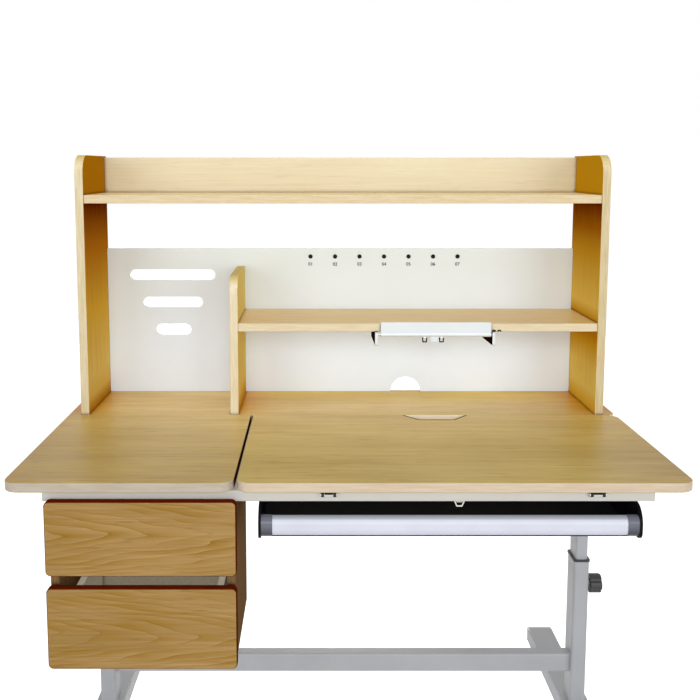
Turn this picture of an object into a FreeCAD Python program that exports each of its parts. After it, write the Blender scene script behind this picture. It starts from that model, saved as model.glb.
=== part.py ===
"""Student desk with a hutch, on a height-adjustable steel base.

Millimetres, +Z up. The origin is on the floor under the middle of the desk, and -Y points to the
person who sits at it. Every piece is one solid, written to the node that carries its name.
"""
import FreeCAD
import Part
import math
import os

# Desk boards
desk_width = 1200.0
desk_depth = 700.0
desk_height = 640.0
board = 18.0
board_edge = 2.0
left_width = 400.0
seam = 5.0
tilt_depth = 458.0
rear_joint = 2.0
front_corner = 28.0
rear_corner = 22.0
inner_corner = 6.0
notch_width = 138.0
notch_floor = 75.0
notch_depth = 38.0
notch_corner = 8.0

# Hutch
hutch_inset = 27.5
hutch_setback = 3.0
hutch_back_margin = 3.0
hutch_height = 565.0
hutch_corner = 40.0
hutch_edge = 1.0
shelf_setback = 2.0
top_shelf_level = 462.0
upstand_height = 82.0
mid_shelf_level = 184.0
left_bay = 309.5
divider_height = 305.0
panel = 9.0
panel_height = 347.0
panel_inset = 2.0
slot_lengths = (204.0, 143.0, 83.0)
slot_height = 27.0
slot_drop = 63.0
slot_pitch = 66.0
cable_hole_radius = 36.0
cable_hole_from_divider = 386.0
peg_count = 7
peg_pitch = 58.4
peg_drop = 19.0
peg_from_divider = 156.5
peg_radius = 5.0
peg_head = 3.0
peg_head_round = 1.0
peg_shank_radius = 2.5
dowel_radius = 4.0
dowel_in_side = 11.0
dowel_in_shelf = 22.0
dowel_inset = 45.0
hutch_bolt_radius = 3.5
hutch_bolt_rise = 40.0
hutch_bolt_inset = 40.0
hutch_bolt_head_radius = 6.0
hutch_bolt_head = 3.0

# Book rest on the mid shelf
book_width = 239.5
book_from_divider = 310.3
book_plate = 4.0
book_rise = 3.0
book_drop = 10.5
book_gap = 1.5
book_edge = 1.2
book_barrel_radius = 4.0
book_pin_radius = 2.0
book_tab_width = 17.5
book_tab_drop = 11.0
book_tab_shift = -3.0
book_tab = 3.0
cheek_gap_left = 6.5
cheek_gap_right = 2.5
cheek = 6.0
cheek_drop = 29.0
cheek_rear_gap = 79.5
cheek_round = 3.0
cheek_flange_thickness = 3.0
cheek_front = 5.0
cheek_rear_height = 34.0
cheek_flange = 14.0
clip_offset = 18.3
clip_shift = -5.9
clip_lug_width = 6.0
clip_lug_radius = 2.6
clip_wire_radius = 1.25
clip_width = 9.0
clip_low_width = 7.6
clip_drop = 8.6

# Steel frame under the boards
frame_gap = 4.0
beam_height = 20.0
beam_width = 30.0
rail_depth = 40.0
rail_setback = 25.0
rail_margin = 66.0
rear_rail_margin = 60.0
tube_wall = 1.5
tube_round = 2.5
cap = 3.0
cap_chamfer = 2.0
spacer_width = 30.0
spacer_inset = 50.0
board_screw_radius = 2.5
board_screw_bite = 12.0
board_screw_head_radius = 5.0
board_screw_head = 2.5
pad_radius = 5.0
rest_gap = 0.3
pad_front_inset = 120.0
pad_rear_inset = 60.0

# Front hinges of the tilting board
hinge_spread = 234.25
hinge_shift = -3.0
hinge_setback = 18.5
hinge_drop = 9.0
hinge_width = 26.0
ear = 5.0
ear_radius = 4.5
hinge_base = 1.8
hinge_base_depth = 34.0
leaf = 1.6
leaf_front = 10.0
leaf_back = 30.0
knuckle_radius = 4.5
hinge_pin_radius = 2.5
side_play = 0.5
pin_fit = 0.05
pin_head_radius = 4.0
pin_head = 1.5

# Prop of the tilting board
tilt_limit = 45.0
prop_reach = 195.0
prop_spread = 150.0
prop_arm = 4.0
prop_arm_radius = 6.0
prop_pin_radius = 2.5
prop_rod_radius = 4.0
prop_rod_play = 1.5
prop_ear = 2.0
prop_base = 2.0
prop_base_width = 30.0
prop_base_depth = 30.0
rack_width = 10.0
rack_end = 14.0
rack_notch = 2.0
rack_gap = 0.3
rack_steps = 6

# Wire pull under the front rail
pull_shift = -6.5
pull_setback = 12.0
pull_width = 17.3
pull_low_width = 9.0
pull_drop = 9.5
pull_wire_radius = 1.25
pull_lug_width = 10.0
pull_lug_radius = 2.8

# Pen drawer
pen_from_tilt_edge = 37.0
pen_right_margin = 86.0
pen_drop = 8.0
pen_height = 59.0
pen_setback = 15.0
pen_wall = 4.5
pen_floor = 2.5
pen_rear_drop = 8.0
pen_rear_gap = 3.0
pen_top_round = 34.0
pen_bottom_round = 14.0
bar_setback = 18.0
bar_height = 34.0
bar_depth = 17.0
bar_round = 12.0
bar_wall = 1.6
bar_rise = 5.0
bar_cap = 20.0
bar_cap_edge = 1.0
runner_flange = 6.0
runner_flange_thickness = 3.0
runner_flange_drop = 3.0
runner_gap = 0.4
runner_sheet = 1.5
runner_hook = 30.0
runner_front_setback = 80.0
runner_end_gap = 12.0
runner_flange_front = 72.0

# Drawer cabinet
front_width = 334.0
front_left_margin = 70.5
front_thickness = 18.0
front_setback = 5.0
front_drop = 36.0
front_corner_round = 9.0
front_edge = 2.5
upper_front_height = 135.0
lower_front_height = 149.0
front_gap = 22.0
carcass = 15.0
carcass_inset = 3.5
carcass_gap = 4.0
carcass_depth = 256.0
carcass_lift = 2.0
cabinet_panel = 5.0
box_wall = 12.0
box_height = 92.0
box_base = 4.0
box_base_lift = 8.0
box_back_gap = 14.0
upper_box_lift = 10.0
lower_box_lift = 24.0
slide_space = 12.7
slide_height = 36.0
slide_sheet = 1.5
slide_reach = 10.0
slide_play = 0.4
slide_member = 8.0
grip_width = 120.0
grip_height = 22.0
grip_depth = 9.0
bumper_radius = 4.0
bumper_gap = 0.3
bumper_inset = 8.0
cabinet_bolt_radius = 3.0
cabinet_bolt_head_radius = 6.0
cabinet_bolt_head = 3.0
cabinet_bolt_inset = 60.0

# Legs
column_margin = 101.0
column_setback = 330.0
column_width = 25.0
column_depth = 50.0
column_round = 5.0
column_wall = 1.5
column_foot_gap = 8.0
height_down = 100.0
height_up = 120.0
column_plate = 5.0
column_plate_width = 70.0
column_plate_depth = 110.0
column_bolt_radius = 4.0
column_bolt_head_radius = 7.0
column_bolt_head = 4.0
column_bolt_inset = 13.0
outer_gap = 1.5
outer_wall = 2.0
column_overlap = 91.0
bush_height = 40.0
bush_fit = 0.1
bush_rim = 4.0
bush_rim_reach = 1.5
plug_height = 30.0
shoe_height = 4.0
stretcher_height = 40.0
stretcher_depth = 30.0
stretcher_level = 110.0
foot_length = 640.0
foot_width = 60.0
foot_height = 35.0
foot_round = 4.0
foot_cap = 8.0
foot_cap_edge = 2.0
foot_pad = 6.0
foot_pad_radius = 22.0
foot_pad_inset = 34.0
knob_drop = 58.0
knob_radius = 20.0
knob_length = 24.0
knob_lobes = 5
knob_groove_radius = 6.0
knob_groove = 3.0
knob_edge = 2.0
knob_gap = 0.5
stud_radius = 4.0
stud_fit = 0.1
stud_tip_gap = 0.3
nut_radius = 8.0
nut_length = 7.0

# Planes and lines that several pieces share
left = -desk_width / 2
right = desk_width / 2
front = -desk_depth / 2
back = desk_depth / 2
top = desk_height
under = top - board
fixed_edge = left + left_width
tilt_left = fixed_edge + seam
tilt_middle = (tilt_left + right) / 2
tilt_back = front + tilt_depth
strip_front = tilt_back + rear_joint
seam_middle = fixed_edge + seam / 2

hutch_left = left + hutch_inset
hutch_right = right - hutch_inset
hutch_front = strip_front + hutch_setback
hutch_back = back - hutch_back_margin
bay_left = hutch_left + board
bay_right = hutch_right - board
divider_left = bay_left + left_bay
divider_right = divider_left + board
cable_hole_x = divider_right + cable_hole_from_divider
panel_back = hutch_back - panel_inset
panel_front = panel_back - panel
panel_top = top + panel_height
shelf_front = hutch_front + shelf_setback
top_shelf_bottom = top + top_shelf_level
top_shelf_top = top_shelf_bottom + board
mid_shelf_bottom = top + mid_shelf_level
mid_shelf_top = mid_shelf_bottom + board

frame_top = under - frame_gap
frame_bottom = frame_top - beam_height
rail_front = front + rail_setback
rail_back = rail_front + rail_depth
rear_rail_back = back - rear_rail_margin
rear_rail_front = rear_rail_back - rail_depth
column_x = right - column_margin
column_front = front + column_setback
column_back = column_front + column_depth
column_middle = (column_front + column_back) / 2
plate_front = column_middle - column_plate_depth / 2
plate_back = column_middle + column_plate_depth / 2
centre_beam_right = seam_middle + beam_width / 2
right_beam_left = column_x - beam_width / 2

hinge_y = front + hinge_setback
hinge_z = under - hinge_drop
prop_pivot_y = hinge_y + prop_reach
prop_foot_y = prop_pivot_y + prop_reach

drawer_left = left + front_left_margin
drawer_right = drawer_left + front_width
drawer_front_face = front + front_setback
drawer_front_back = drawer_front_face + front_thickness
carcass_left = drawer_left + carcass_inset
carcass_right = drawer_right - carcass_inset
carcass_front = drawer_front_back + carcass_gap
carcass_back = carcass_front + carcass_depth

sides = {-1: "left", 1: "right"}
tolerance = 1e-4
nodes = {}


def vector(axis, along, across, up):
    """A point from its place along an axis and its two places in the plane square to that axis."""
    if axis == "x":
        return FreeCAD.Vector(along, across, up)
    if axis == "y":
        return FreeCAD.Vector(across, along, up)
    return FreeCAD.Vector(across, up, along)


def add(name, *solids):
    """Puts solids in the node of that name."""
    nodes.setdefault(name, []).extend(solids)


def block(x0, x1, y0, y1, z0, z1):
    """A block between two corners."""
    return Part.makeBox(x1 - x0, y1 - y0, z1 - z0, FreeCAD.Vector(x0, y0, z0))


def rod(axis, radius, start, end, across, up):
    """A round bar along an axis."""
    direction = vector(axis, 1, 0, 0)
    return Part.makeCylinder(radius, end - start, vector(axis, start, across, up), direction)


def outline(axis, along, corners):
    """A closed wire through corners (across, up, radius), each rounded by its own radius."""
    points = [vector(axis, along, across, up) for across, up, radius in corners]
    edges = []
    ends = []
    for index, (across, up, radius) in enumerate(corners):
        point = points[index]
        before = (points[index - 1] - point).normalize()
        after = (points[(index + 1) % len(points)] - point).normalize()
        if radius <= 0:
            ends.append((point, point))
            continue
        half = before.getAngle(after) / 2
        reach = radius / math.tan(half)
        bisector = (before + after).normalize()
        centre = point + bisector * (radius / math.sin(half))
        start = point + before * reach
        end = point + after * reach
        edges.append(Part.Arc(start, centre - bisector * radius, end).toShape())
        ends.append((start, end))
    for index, (start, end) in enumerate(ends):
        following = ends[(index + 1) % len(ends)][0]
        if end.distanceToPoint(following) > tolerance:
            edges.append(Part.LineSegment(end, following).toShape())
    return Part.Wire(Part.__sortEdges__(edges))


def slab(axis, start, end, corners):
    """An outline with rounded corners, made thick along an axis."""
    face = Part.Face(outline(axis, start, corners))
    return face.extrude(vector(axis, end - start, 0, 0))


def rectangle(across0, across1, up0, up1, radius):
    """The corners of a rectangle whose corners share one radius."""
    return [(across0, up0, radius), (across1, up0, radius), (across1, up1, radius), (across0, up1, radius)]


def round_edges(shape, radius, chosen=None):
    """Rounds the edges that the test chooses, or all of them."""
    edges = [edge for edge in shape.Edges if chosen is None or chosen(edge)]
    return shape.makeFillet(radius, edges)


def lies_in(edge, axis, place):
    """Says whether an edge lies in the plane square to an axis at that place."""
    box = edge.BoundBox
    low, high = {"x": (box.XMin, box.XMax), "y": (box.YMin, box.YMax), "z": (box.ZMin, box.ZMax)}[axis]
    return abs(low - place) < tolerance and abs(high - place) < tolerance


def tube(axis, start, end, across0, across1, up0, up1, wall, radius):
    """A rectangular tube along an axis, with rounded outer and inner corners."""
    outer = slab(axis, start, end, rectangle(across0, across1, up0, up1, radius))
    bore = rectangle(across0 + wall, across1 - wall, up0 + wall, up1 - wall, radius - wall)
    return outer.cut(slab(axis, start, end, bore))


def wire_loop(x, y, z, width, low_width, drop, radius):
    """A closed loop of wire with four straight bars that hangs from its upper bar at that point."""
    half = width / 2
    low_half = low_width / 2
    corners = [(x - half, z), (x + half, z), (x + low_half, z - drop), (x - low_half, z - drop)]
    points = [FreeCAD.Vector(across, y, level) for across, level in corners]
    bars = []
    for start, end in zip(points, points[1:] + points[:1]):
        bars.append(Part.makeCylinder(radius, start.distanceToPoint(end), start, end - start))
    balls = [Part.makeSphere(radius, point) for point in points]
    return bars[0].multiFuse(bars[1:] + balls).removeSplitter()


def fixed_board():
    """The L-shaped board: the left part and the strip behind the tilting board, in one."""
    corners = [
        (left, front, front_corner), (fixed_edge, front, front_corner),
        (fixed_edge, strip_front, inner_corner), (right, strip_front, rear_corner),
        (right, back, rear_corner), (left, back, rear_corner),
    ]
    return round_edges(slab("z", under, top, corners), board_edge)


def tilting_board():
    """The writing board, with a cable notch in its rear edge."""
    notch_front = tilt_back - notch_depth
    corners = [
        (tilt_left, front, front_corner), (right, front, front_corner), (right, tilt_back, rear_corner),
        (tilt_middle + notch_width / 2, tilt_back, notch_corner),
        (tilt_middle + notch_floor / 2, notch_front, notch_corner),
        (tilt_middle - notch_floor / 2, notch_front, notch_corner),
        (tilt_middle - notch_width / 2, tilt_back, notch_corner),
        (tilt_left, tilt_back, inner_corner),
    ]
    return round_edges(slab("z", under, top, corners), board_edge)


def upright(x0, x1, rear, height):
    """A standing board of the hutch, with its front top corner rounded."""
    corners = [
        (hutch_front, top, 0), (rear, top, 0), (rear, top + height, 0),
        (hutch_front, top + height, hutch_corner),
    ]
    shape = slab("x", x0, x1, corners)
    return round_edges(shape, hutch_edge, lambda edge: not lies_in(edge, "z", top))


def shelf(x0, x1, rear, z0):
    """A shelf between two uprights, with its front edges softened."""
    shape = block(x0, x1, shelf_front, rear, z0, z0 + board)
    return round_edges(
        shape, hutch_edge,
        lambda edge: lies_in(edge, "y", shelf_front) and edge.Length > board,
    )


def shelf_dowels():
    """Dowels that join both ends of each shelf, and of the upstand, to the uprights."""
    shelf_middle = board / 2
    front_y = shelf_front + dowel_inset
    levels = [
        (bay_left, bay_right, top_shelf_bottom + shelf_middle, (front_y, hutch_back - dowel_inset)),
        (divider_right, bay_right, mid_shelf_bottom + shelf_middle, (front_y, panel_front - dowel_inset)),
        (bay_left, bay_right, top_shelf_top + upstand_height / 2, (hutch_back - shelf_middle,)),
    ]
    dowels = []
    for x0, x1, z, places in levels:
        for y in places:
            dowels.append(rod("x", dowel_radius, x0 - dowel_in_side, x0 + dowel_in_shelf, y, z))
            dowels.append(rod("x", dowel_radius, x1 - dowel_in_shelf, x1 + dowel_in_side, y, z))
    return dowels


def hutch_bolts():
    """Bolts that come up through the fixed board into the two sides and the divider."""
    bolts = []
    for x in (hutch_left + board / 2, divider_left + board / 2, hutch_right - board / 2):
        for y in (hutch_front + hutch_bolt_inset, panel_front - hutch_bolt_inset):
            shank = rod("z", hutch_bolt_radius, under, top + hutch_bolt_rise, x, y)
            head = rod("z", hutch_bolt_head_radius, under - hutch_bolt_head, under, x, y)
            bolts.append(shank.fuse(head))
    return bolts


def note_pegs():
    """Pegs in a row near the top of the back panel, each with a flat round head."""
    pegs = []
    for index in range(peg_count):
        x = divider_right + peg_from_divider + index * peg_pitch
        z = panel_top - peg_drop
        head = rod("y", peg_radius, panel_front - peg_head, panel_front, x, z)
        head = round_edges(head, peg_head_round, lambda edge: lies_in(edge, "y", panel_front - peg_head))
        pegs.append(head.fuse(rod("y", peg_shank_radius, panel_front, panel_back, x, z)))
    return pegs


def back_panel(pegs):
    """The back panel, with its slots, its half-round cable hole and the holes of the pegs."""
    shape = block(bay_left, bay_right, panel_front, panel_back, top, panel_top)
    slot_middle = (bay_left + divider_left) / 2
    cuts = [rod("y", cable_hole_radius, panel_front, panel_back, cable_hole_x, top)]
    for index, length in enumerate(slot_lengths):
        z = panel_top - slot_drop - index * slot_pitch
        corners = rectangle(
            slot_middle - length / 2, slot_middle + length / 2,
            z - slot_height / 2, z + slot_height / 2, slot_height / 2,
        )
        cuts.append(slab("y", panel_front, panel_back, corners))
    return shape.cut(cuts + pegs)


def build_boards(screws):
    """The two desk boards and the hutch, with the fasteners that join them."""
    bolts = hutch_bolts()
    dowels = shelf_dowels()
    pegs = note_pegs()
    add("fixed_top", fixed_board().cut(bolts + screws))
    add("tilt_top", tilting_board())
    add("hutch_side_left", upright(hutch_left, bay_left, hutch_back, hutch_height).cut(bolts + dowels))
    add("hutch_side_right", upright(bay_right, hutch_right, hutch_back, hutch_height).cut(bolts + dowels))
    divider = upright(divider_left, divider_right, panel_front, divider_height)
    add("hutch_divider", divider.cut(bolts + dowels))
    add("hutch_top_shelf", shelf(bay_left, bay_right, hutch_back, top_shelf_bottom).cut(dowels))
    add("hutch_mid_shelf", shelf(divider_right, bay_right, panel_front, mid_shelf_bottom).cut(dowels))
    upstand = block(
        bay_left, bay_right, hutch_back - board, hutch_back, top_shelf_top, top_shelf_top + upstand_height
    )
    upstand = round_edges(
        upstand, hutch_edge,
        lambda edge: lies_in(edge, "z", top_shelf_top + upstand_height) and edge.Length > board,
    )
    add("hutch_upstand", upstand.cut(dowels))
    add("hutch_back_panel", back_panel(pegs))
    add("note_pegs", *pegs)
    add("shelf_dowels", *dowels)
    add("desk_screws", *bolts)


def build_book_rest():
    """The book rest: a folding plate between two cheeks under the mid shelf, and its page clips."""
    x0 = divider_right + book_from_divider
    x1 = x0 + book_width
    middle = (x0 + x1) / 2
    y1 = shelf_front - book_gap
    y0 = y1 - book_plate
    axis_y = (y0 + y1) / 2
    bottom = mid_shelf_bottom - book_drop
    axis_z = bottom + book_barrel_radius
    plate_top = mid_shelf_top + book_rise
    lug_z = bottom - clip_lug_radius

    plate = slab("y", y0, y1, rectangle(x0, x1, axis_z, plate_top, book_edge))
    barrel = rod("x", book_barrel_radius, x0, x1, axis_y, axis_z)
    tab_low = bottom - book_tab_drop
    tab_left = middle + book_tab_shift - book_tab_width / 2
    tab_right = tab_left + book_tab_width
    tab_corners = [
        (tab_left, tab_low, book_tab), (tab_right, tab_low, book_tab), (tab_right, axis_z, 0),
        (tab_left, axis_z, 0),
    ]
    tab = slab("y", axis_y - book_tab / 2, axis_y + book_tab / 2, tab_corners)
    plate = plate.multiFuse([barrel, tab])
    cheek_faces = {-1: x0 - cheek_gap_left, 1: x1 + cheek_gap_right}
    pin = rod("x", book_pin_radius, cheek_faces[-1] - cheek, cheek_faces[1] + cheek, axis_y, axis_z)
    bore = rod("x", book_pin_radius + pin_fit, x0, x1, axis_y, axis_z)
    clip_holes = []
    for side, name in sides.items():
        x = middle + clip_shift + side * clip_offset
        lug = rod("x", clip_lug_radius, x - clip_lug_width / 2, x + clip_lug_width / 2, axis_y, lug_z)
        web = block(
            x - clip_lug_width / 2, x + clip_lug_width / 2,
            axis_y - clip_wire_radius, axis_y + clip_wire_radius, lug_z, axis_z,
        )
        plate = plate.multiFuse([lug, web])
        hole = clip_wire_radius + pin_fit
        clip_holes.append(rod("x", hole, x - clip_lug_width, x + clip_lug_width, axis_y, lug_z))
        add("page_clip_" + name, wire_loop(
            x, axis_y, lug_z, clip_width, clip_low_width, clip_drop, clip_wire_radius
        ))
    add("book_rest_plate", plate.cut([bore] + clip_holes).removeSplitter())
    add("book_rest_pin", pin)

    cheek_y0 = axis_y - cheek_front
    cheek_y1 = panel_front - cheek_rear_gap
    cheek_bottom = mid_shelf_bottom - cheek_drop
    profile = [
        (cheek_y0, cheek_bottom, cheek_round),
        (cheek_y1, mid_shelf_bottom - cheek_rear_height, cheek_round), (cheek_y1, mid_shelf_bottom, 0),
        (cheek_y0, mid_shelf_bottom, 0),
    ]
    flange_front = shelf_front + book_gap
    for side, inner in cheek_faces.items():
        outer = inner + side * cheek
        web = slab("x", min(inner, outer), max(inner, outer), profile)
        flange_edge = inner - side * cheek_flange
        flange = block(
            min(inner, flange_edge), max(inner, flange_edge), flange_front, cheek_y1,
            mid_shelf_bottom - cheek_flange_thickness, mid_shelf_bottom,
        )
        add("book_rest_cheeks", web.fuse(flange).cut(pin).removeSplitter())


def board_fasteners():
    """Spacers between the frame and the fixed board, and the screws that go up through them."""
    beam_x = -column_x
    rear_y = (rear_rail_front + rear_rail_back) / 2
    front_y = (rail_front + rail_back) / 2
    beam_y = (plate_back + rear_rail_front) / 2
    screwed = [
        (beam_x, beam_y), (beam_x, rear_y), (seam_middle, rear_y), (tilt_middle, rear_y),
        (column_x, rear_y),
    ]
    plain = [(beam_x, front_y), (fixed_edge - spacer_inset, front_y)]
    spacers = []
    screws = []
    for x, y in screwed + plain:
        corners = (x - spacer_width / 2, x + spacer_width / 2, y - spacer_width / 2, y + spacer_width / 2)
        spacers.append(block(*corners, frame_top, under))
    for x, y in screwed:
        shank = rod("z", board_screw_radius, frame_bottom, under + board_screw_bite, x, y)
        head = rod("z", board_screw_head_radius, frame_bottom - board_screw_head, frame_bottom, x, y)
        screws.append(shank.fuse(head))
    return [spacer.cut(screws) for spacer in spacers], screws


def column_bolts():
    """Bolts that hold each column's plate to its beam."""
    bolts = []
    plate_bottom = frame_bottom - column_plate
    for side in sides:
        for y in (plate_front + column_bolt_inset, plate_back - column_bolt_inset):
            x = side * column_x
            shank = rod("z", column_bolt_radius, plate_bottom, frame_bottom + tube_wall, x, y)
            head = rod("z", column_bolt_head_radius, plate_bottom - column_bolt_head, plate_bottom, x, y)
            bolts.append(shank.fuse(head))
    return bolts


def cabinet_bolts():
    """Bolts that hang the cabinet's top on the front rail and the left beam."""
    top_panel_bottom = frame_bottom - carcass
    rail_middle = (rail_front + rail_back) / 2
    left_x = drawer_left + cabinet_bolt_inset
    right_x = drawer_right - cabinet_bolt_inset
    beam_y = carcass_back - cabinet_bolt_inset
    bolts = []
    for x, y in ((left_x, rail_middle), (right_x, rail_middle), (-column_x, beam_y)):
        shank = rod("z", cabinet_bolt_radius, top_panel_bottom, frame_bottom + tube_wall, x, y)
        head = rod(
            "z", cabinet_bolt_head_radius, top_panel_bottom - cabinet_bolt_head, top_panel_bottom, x, y
        )
        bolts.append(shank.fuse(head))
    return bolts


def rail_cap(side, y0, y1):
    """A plug on the open end of a rail, with its outer edges chamfered."""
    x0 = side * (right - rail_margin)
    x1 = x0 + side * cap
    shape = block(min(x0, x1), max(x0, x1), y0, y1, frame_bottom, frame_top)
    return shape.makeChamfer(cap_chamfer, [edge for edge in shape.Edges if lies_in(edge, "x", x1)])


def build_frame(spacers, screws, hanging):
    """The rails and beams under the boards, drilled for the fasteners that come through them."""
    bolts = column_bolts()
    drills = screws + bolts + hanging
    rail_end = right - rail_margin
    rails = {"front_rail": (rail_front, rail_back), "rear_rail": (rear_rail_front, rear_rail_back)}
    for name, (y0, y1) in rails.items():
        rail = tube("x", -rail_end, rail_end, y0, y1, frame_bottom, frame_top, tube_wall, tube_round)
        rail = rail.cut(drills)
        if name == "front_rail":
            rail = rail.fuse(pull_lug()).removeSplitter()
        add(name, rail)
        add("rail_caps", *[rail_cap(side, y0, y1) for side in sides])
    for name, x in (("left_beam", -column_x), ("centre_beam", seam_middle), ("right_beam", column_x)):
        x0 = x - beam_width / 2
        x1 = x + beam_width / 2
        beam = tube("y", rail_back, rear_rail_front, x0, x1, frame_bottom, frame_top, tube_wall, tube_round)
        add(name, beam.cut(drills))
    add("board_spacers", *spacers)
    add("desk_screws", *screws, *bolts)
    pad_top = under - rest_gap
    for x in (tilt_left + pad_radius + side_play, column_x):
        for y in (rail_back + pad_front_inset, tilt_back - pad_rear_inset):
            add("rubber_pads", rod("z", pad_radius, frame_top, pad_top, x, y))
    return bolts


def build_hinges():
    """Two front hinges: a two-eared base on the rail, a leaf under the board and a pin."""
    half = hinge_width / 2
    ear_inner = half - ear
    base_top = frame_top + hinge_base
    base_back = rail_front + hinge_base_depth
    for side in sides:
        x = tilt_middle + hinge_shift + side * hinge_spread
        pin = rod("x", hinge_pin_radius, x - half, x + half, hinge_y, hinge_z)
        heads = [
            rod("x", pin_head_radius, x - half - pin_head, x - half, hinge_y, hinge_z),
            rod("x", pin_head_radius, x + half, x + half + pin_head, hinge_y, hinge_z),
        ]
        base = block(x - half, x + half, rail_front, base_back, frame_top, base_top)
        pieces = []
        for x0 in (x - half, x + ear_inner):
            pieces.append(rod("x", ear_radius, x0, x0 + ear, hinge_y, hinge_z))
            pieces.append(block(x0, x0 + ear, hinge_y, rail_front, hinge_z, base_top))
        add("hinge_bases", base.multiFuse(pieces).cut(pin).removeSplitter())

        leaf_half = ear_inner - side_play
        bore = rod("x", hinge_pin_radius + pin_fit, x - leaf_half, x + leaf_half, hinge_y, hinge_z)
        plate = block(
            x - leaf_half, x + leaf_half, hinge_y - leaf_front, hinge_y + leaf_back, under - leaf, under
        )
        barrel = rod("x", knuckle_radius, x - leaf_half, x + leaf_half, hinge_y, hinge_z)
        web = block(
            x - leaf_half, x + leaf_half, hinge_y - hinge_pin_radius, hinge_y + hinge_pin_radius,
            hinge_z, under - leaf,
        )
        add("hinge_leaves", plate.multiFuse([barrel, web]).cut(bore).removeSplitter())
        add("hinge_pins", pin.multiFuse(heads).removeSplitter())


def build_prop():
    """The prop: two arms hinged under the board, and a foot rod that rides on two racks.

    Each arm is as long as its pivot is far from the front hinge, and the hinge, the pivot and the rod
    start at one level, so the rod stays at that level while the board tilts.
    """
    rod_start = centre_beam_right + prop_rod_play
    rod_end = right_beam_left - prop_rod_play
    foot = rod("x", prop_rod_radius, rod_start, rod_end, prop_foot_y, hinge_z)
    add("prop_rod", foot)
    for side in sides:
        x = tilt_middle + side * prop_spread
        x0 = x - prop_arm / 2
        x1 = x + prop_arm / 2
        corners = rectangle(
            prop_pivot_y - prop_arm_radius, prop_foot_y + prop_arm_radius,
            hinge_z - prop_arm_radius, hinge_z + prop_arm_radius, prop_arm_radius,
        )
        bore = rod("x", prop_pin_radius + pin_fit, x0, x1, prop_pivot_y, hinge_z)
        add("prop_arms", slab("x", x0, x1, corners).cut([bore, foot]))

        ear_in = prop_arm / 2 + side_play
        ear_out = ear_in + prop_ear
        pieces = [rod("x", prop_pin_radius, x - ear_out, x + ear_out, prop_pivot_y, hinge_z)]
        for x0 in (x - ear_out, x + ear_in):
            pieces.append(rod("x", prop_arm_radius, x0, x0 + prop_ear, prop_pivot_y, hinge_z))
            pieces.append(block(
                x0, x0 + prop_ear, prop_pivot_y - prop_arm_radius, prop_pivot_y + prop_arm_radius,
                hinge_z, under - prop_base,
            ))
        base = block(
            x - prop_base_width / 2, x + prop_base_width / 2,
            prop_pivot_y - prop_base_depth / 2, prop_pivot_y + prop_base_depth / 2, under - prop_base, under,
        )
        add("prop_brackets", base.multiFuse(pieces).removeSplitter())

    def foot_place(angle):
        return hinge_y + 2 * prop_reach * math.cos(math.radians(angle))

    rack_top = hinge_z - prop_rod_radius - rack_gap
    rack_front = foot_place(tilt_limit) - rack_end
    rack_back = foot_place(0) + rack_end
    angles = [tilt_limit * step / rack_steps for step in range(rack_steps + 1)]
    notch_radius = prop_rod_radius + rack_gap
    for x0 in (centre_beam_right, right_beam_left - rack_width):
        x1 = x0 + rack_width
        notches = [
            rod("x", notch_radius, x0, x1, foot_place(angle), hinge_z - rack_notch) for angle in angles
        ]
        rack = block(x0, x1, rack_front, rack_back, frame_bottom, rack_top)
        add("racks", rack.cut(notches))


def pull_place():
    """The point that the wire loop under the front rail hangs from."""
    return tilt_middle + pull_shift, rail_front + pull_setback, frame_bottom - pull_lug_radius


def pull_lug():
    """The welded lug under the front rail that holds the wire loop."""
    x, y, z = pull_place()
    x0 = x - pull_lug_width / 2
    x1 = x + pull_lug_width / 2
    lug = rod("x", pull_lug_radius, x0, x1, y, z)
    foot = block(x0, x1, y - pull_lug_radius, y + pull_lug_radius, z, frame_bottom)
    hole = rod("x", pull_wire_radius + pin_fit, x0, x1, y, z)
    return lug.fuse(foot).cut(hole)


def build_pull():
    """A small wire loop that swings in the lug under the front rail."""
    add("pull_loop", wire_loop(*pull_place(), pull_width, pull_low_width, pull_drop, pull_wire_radius))


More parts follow.
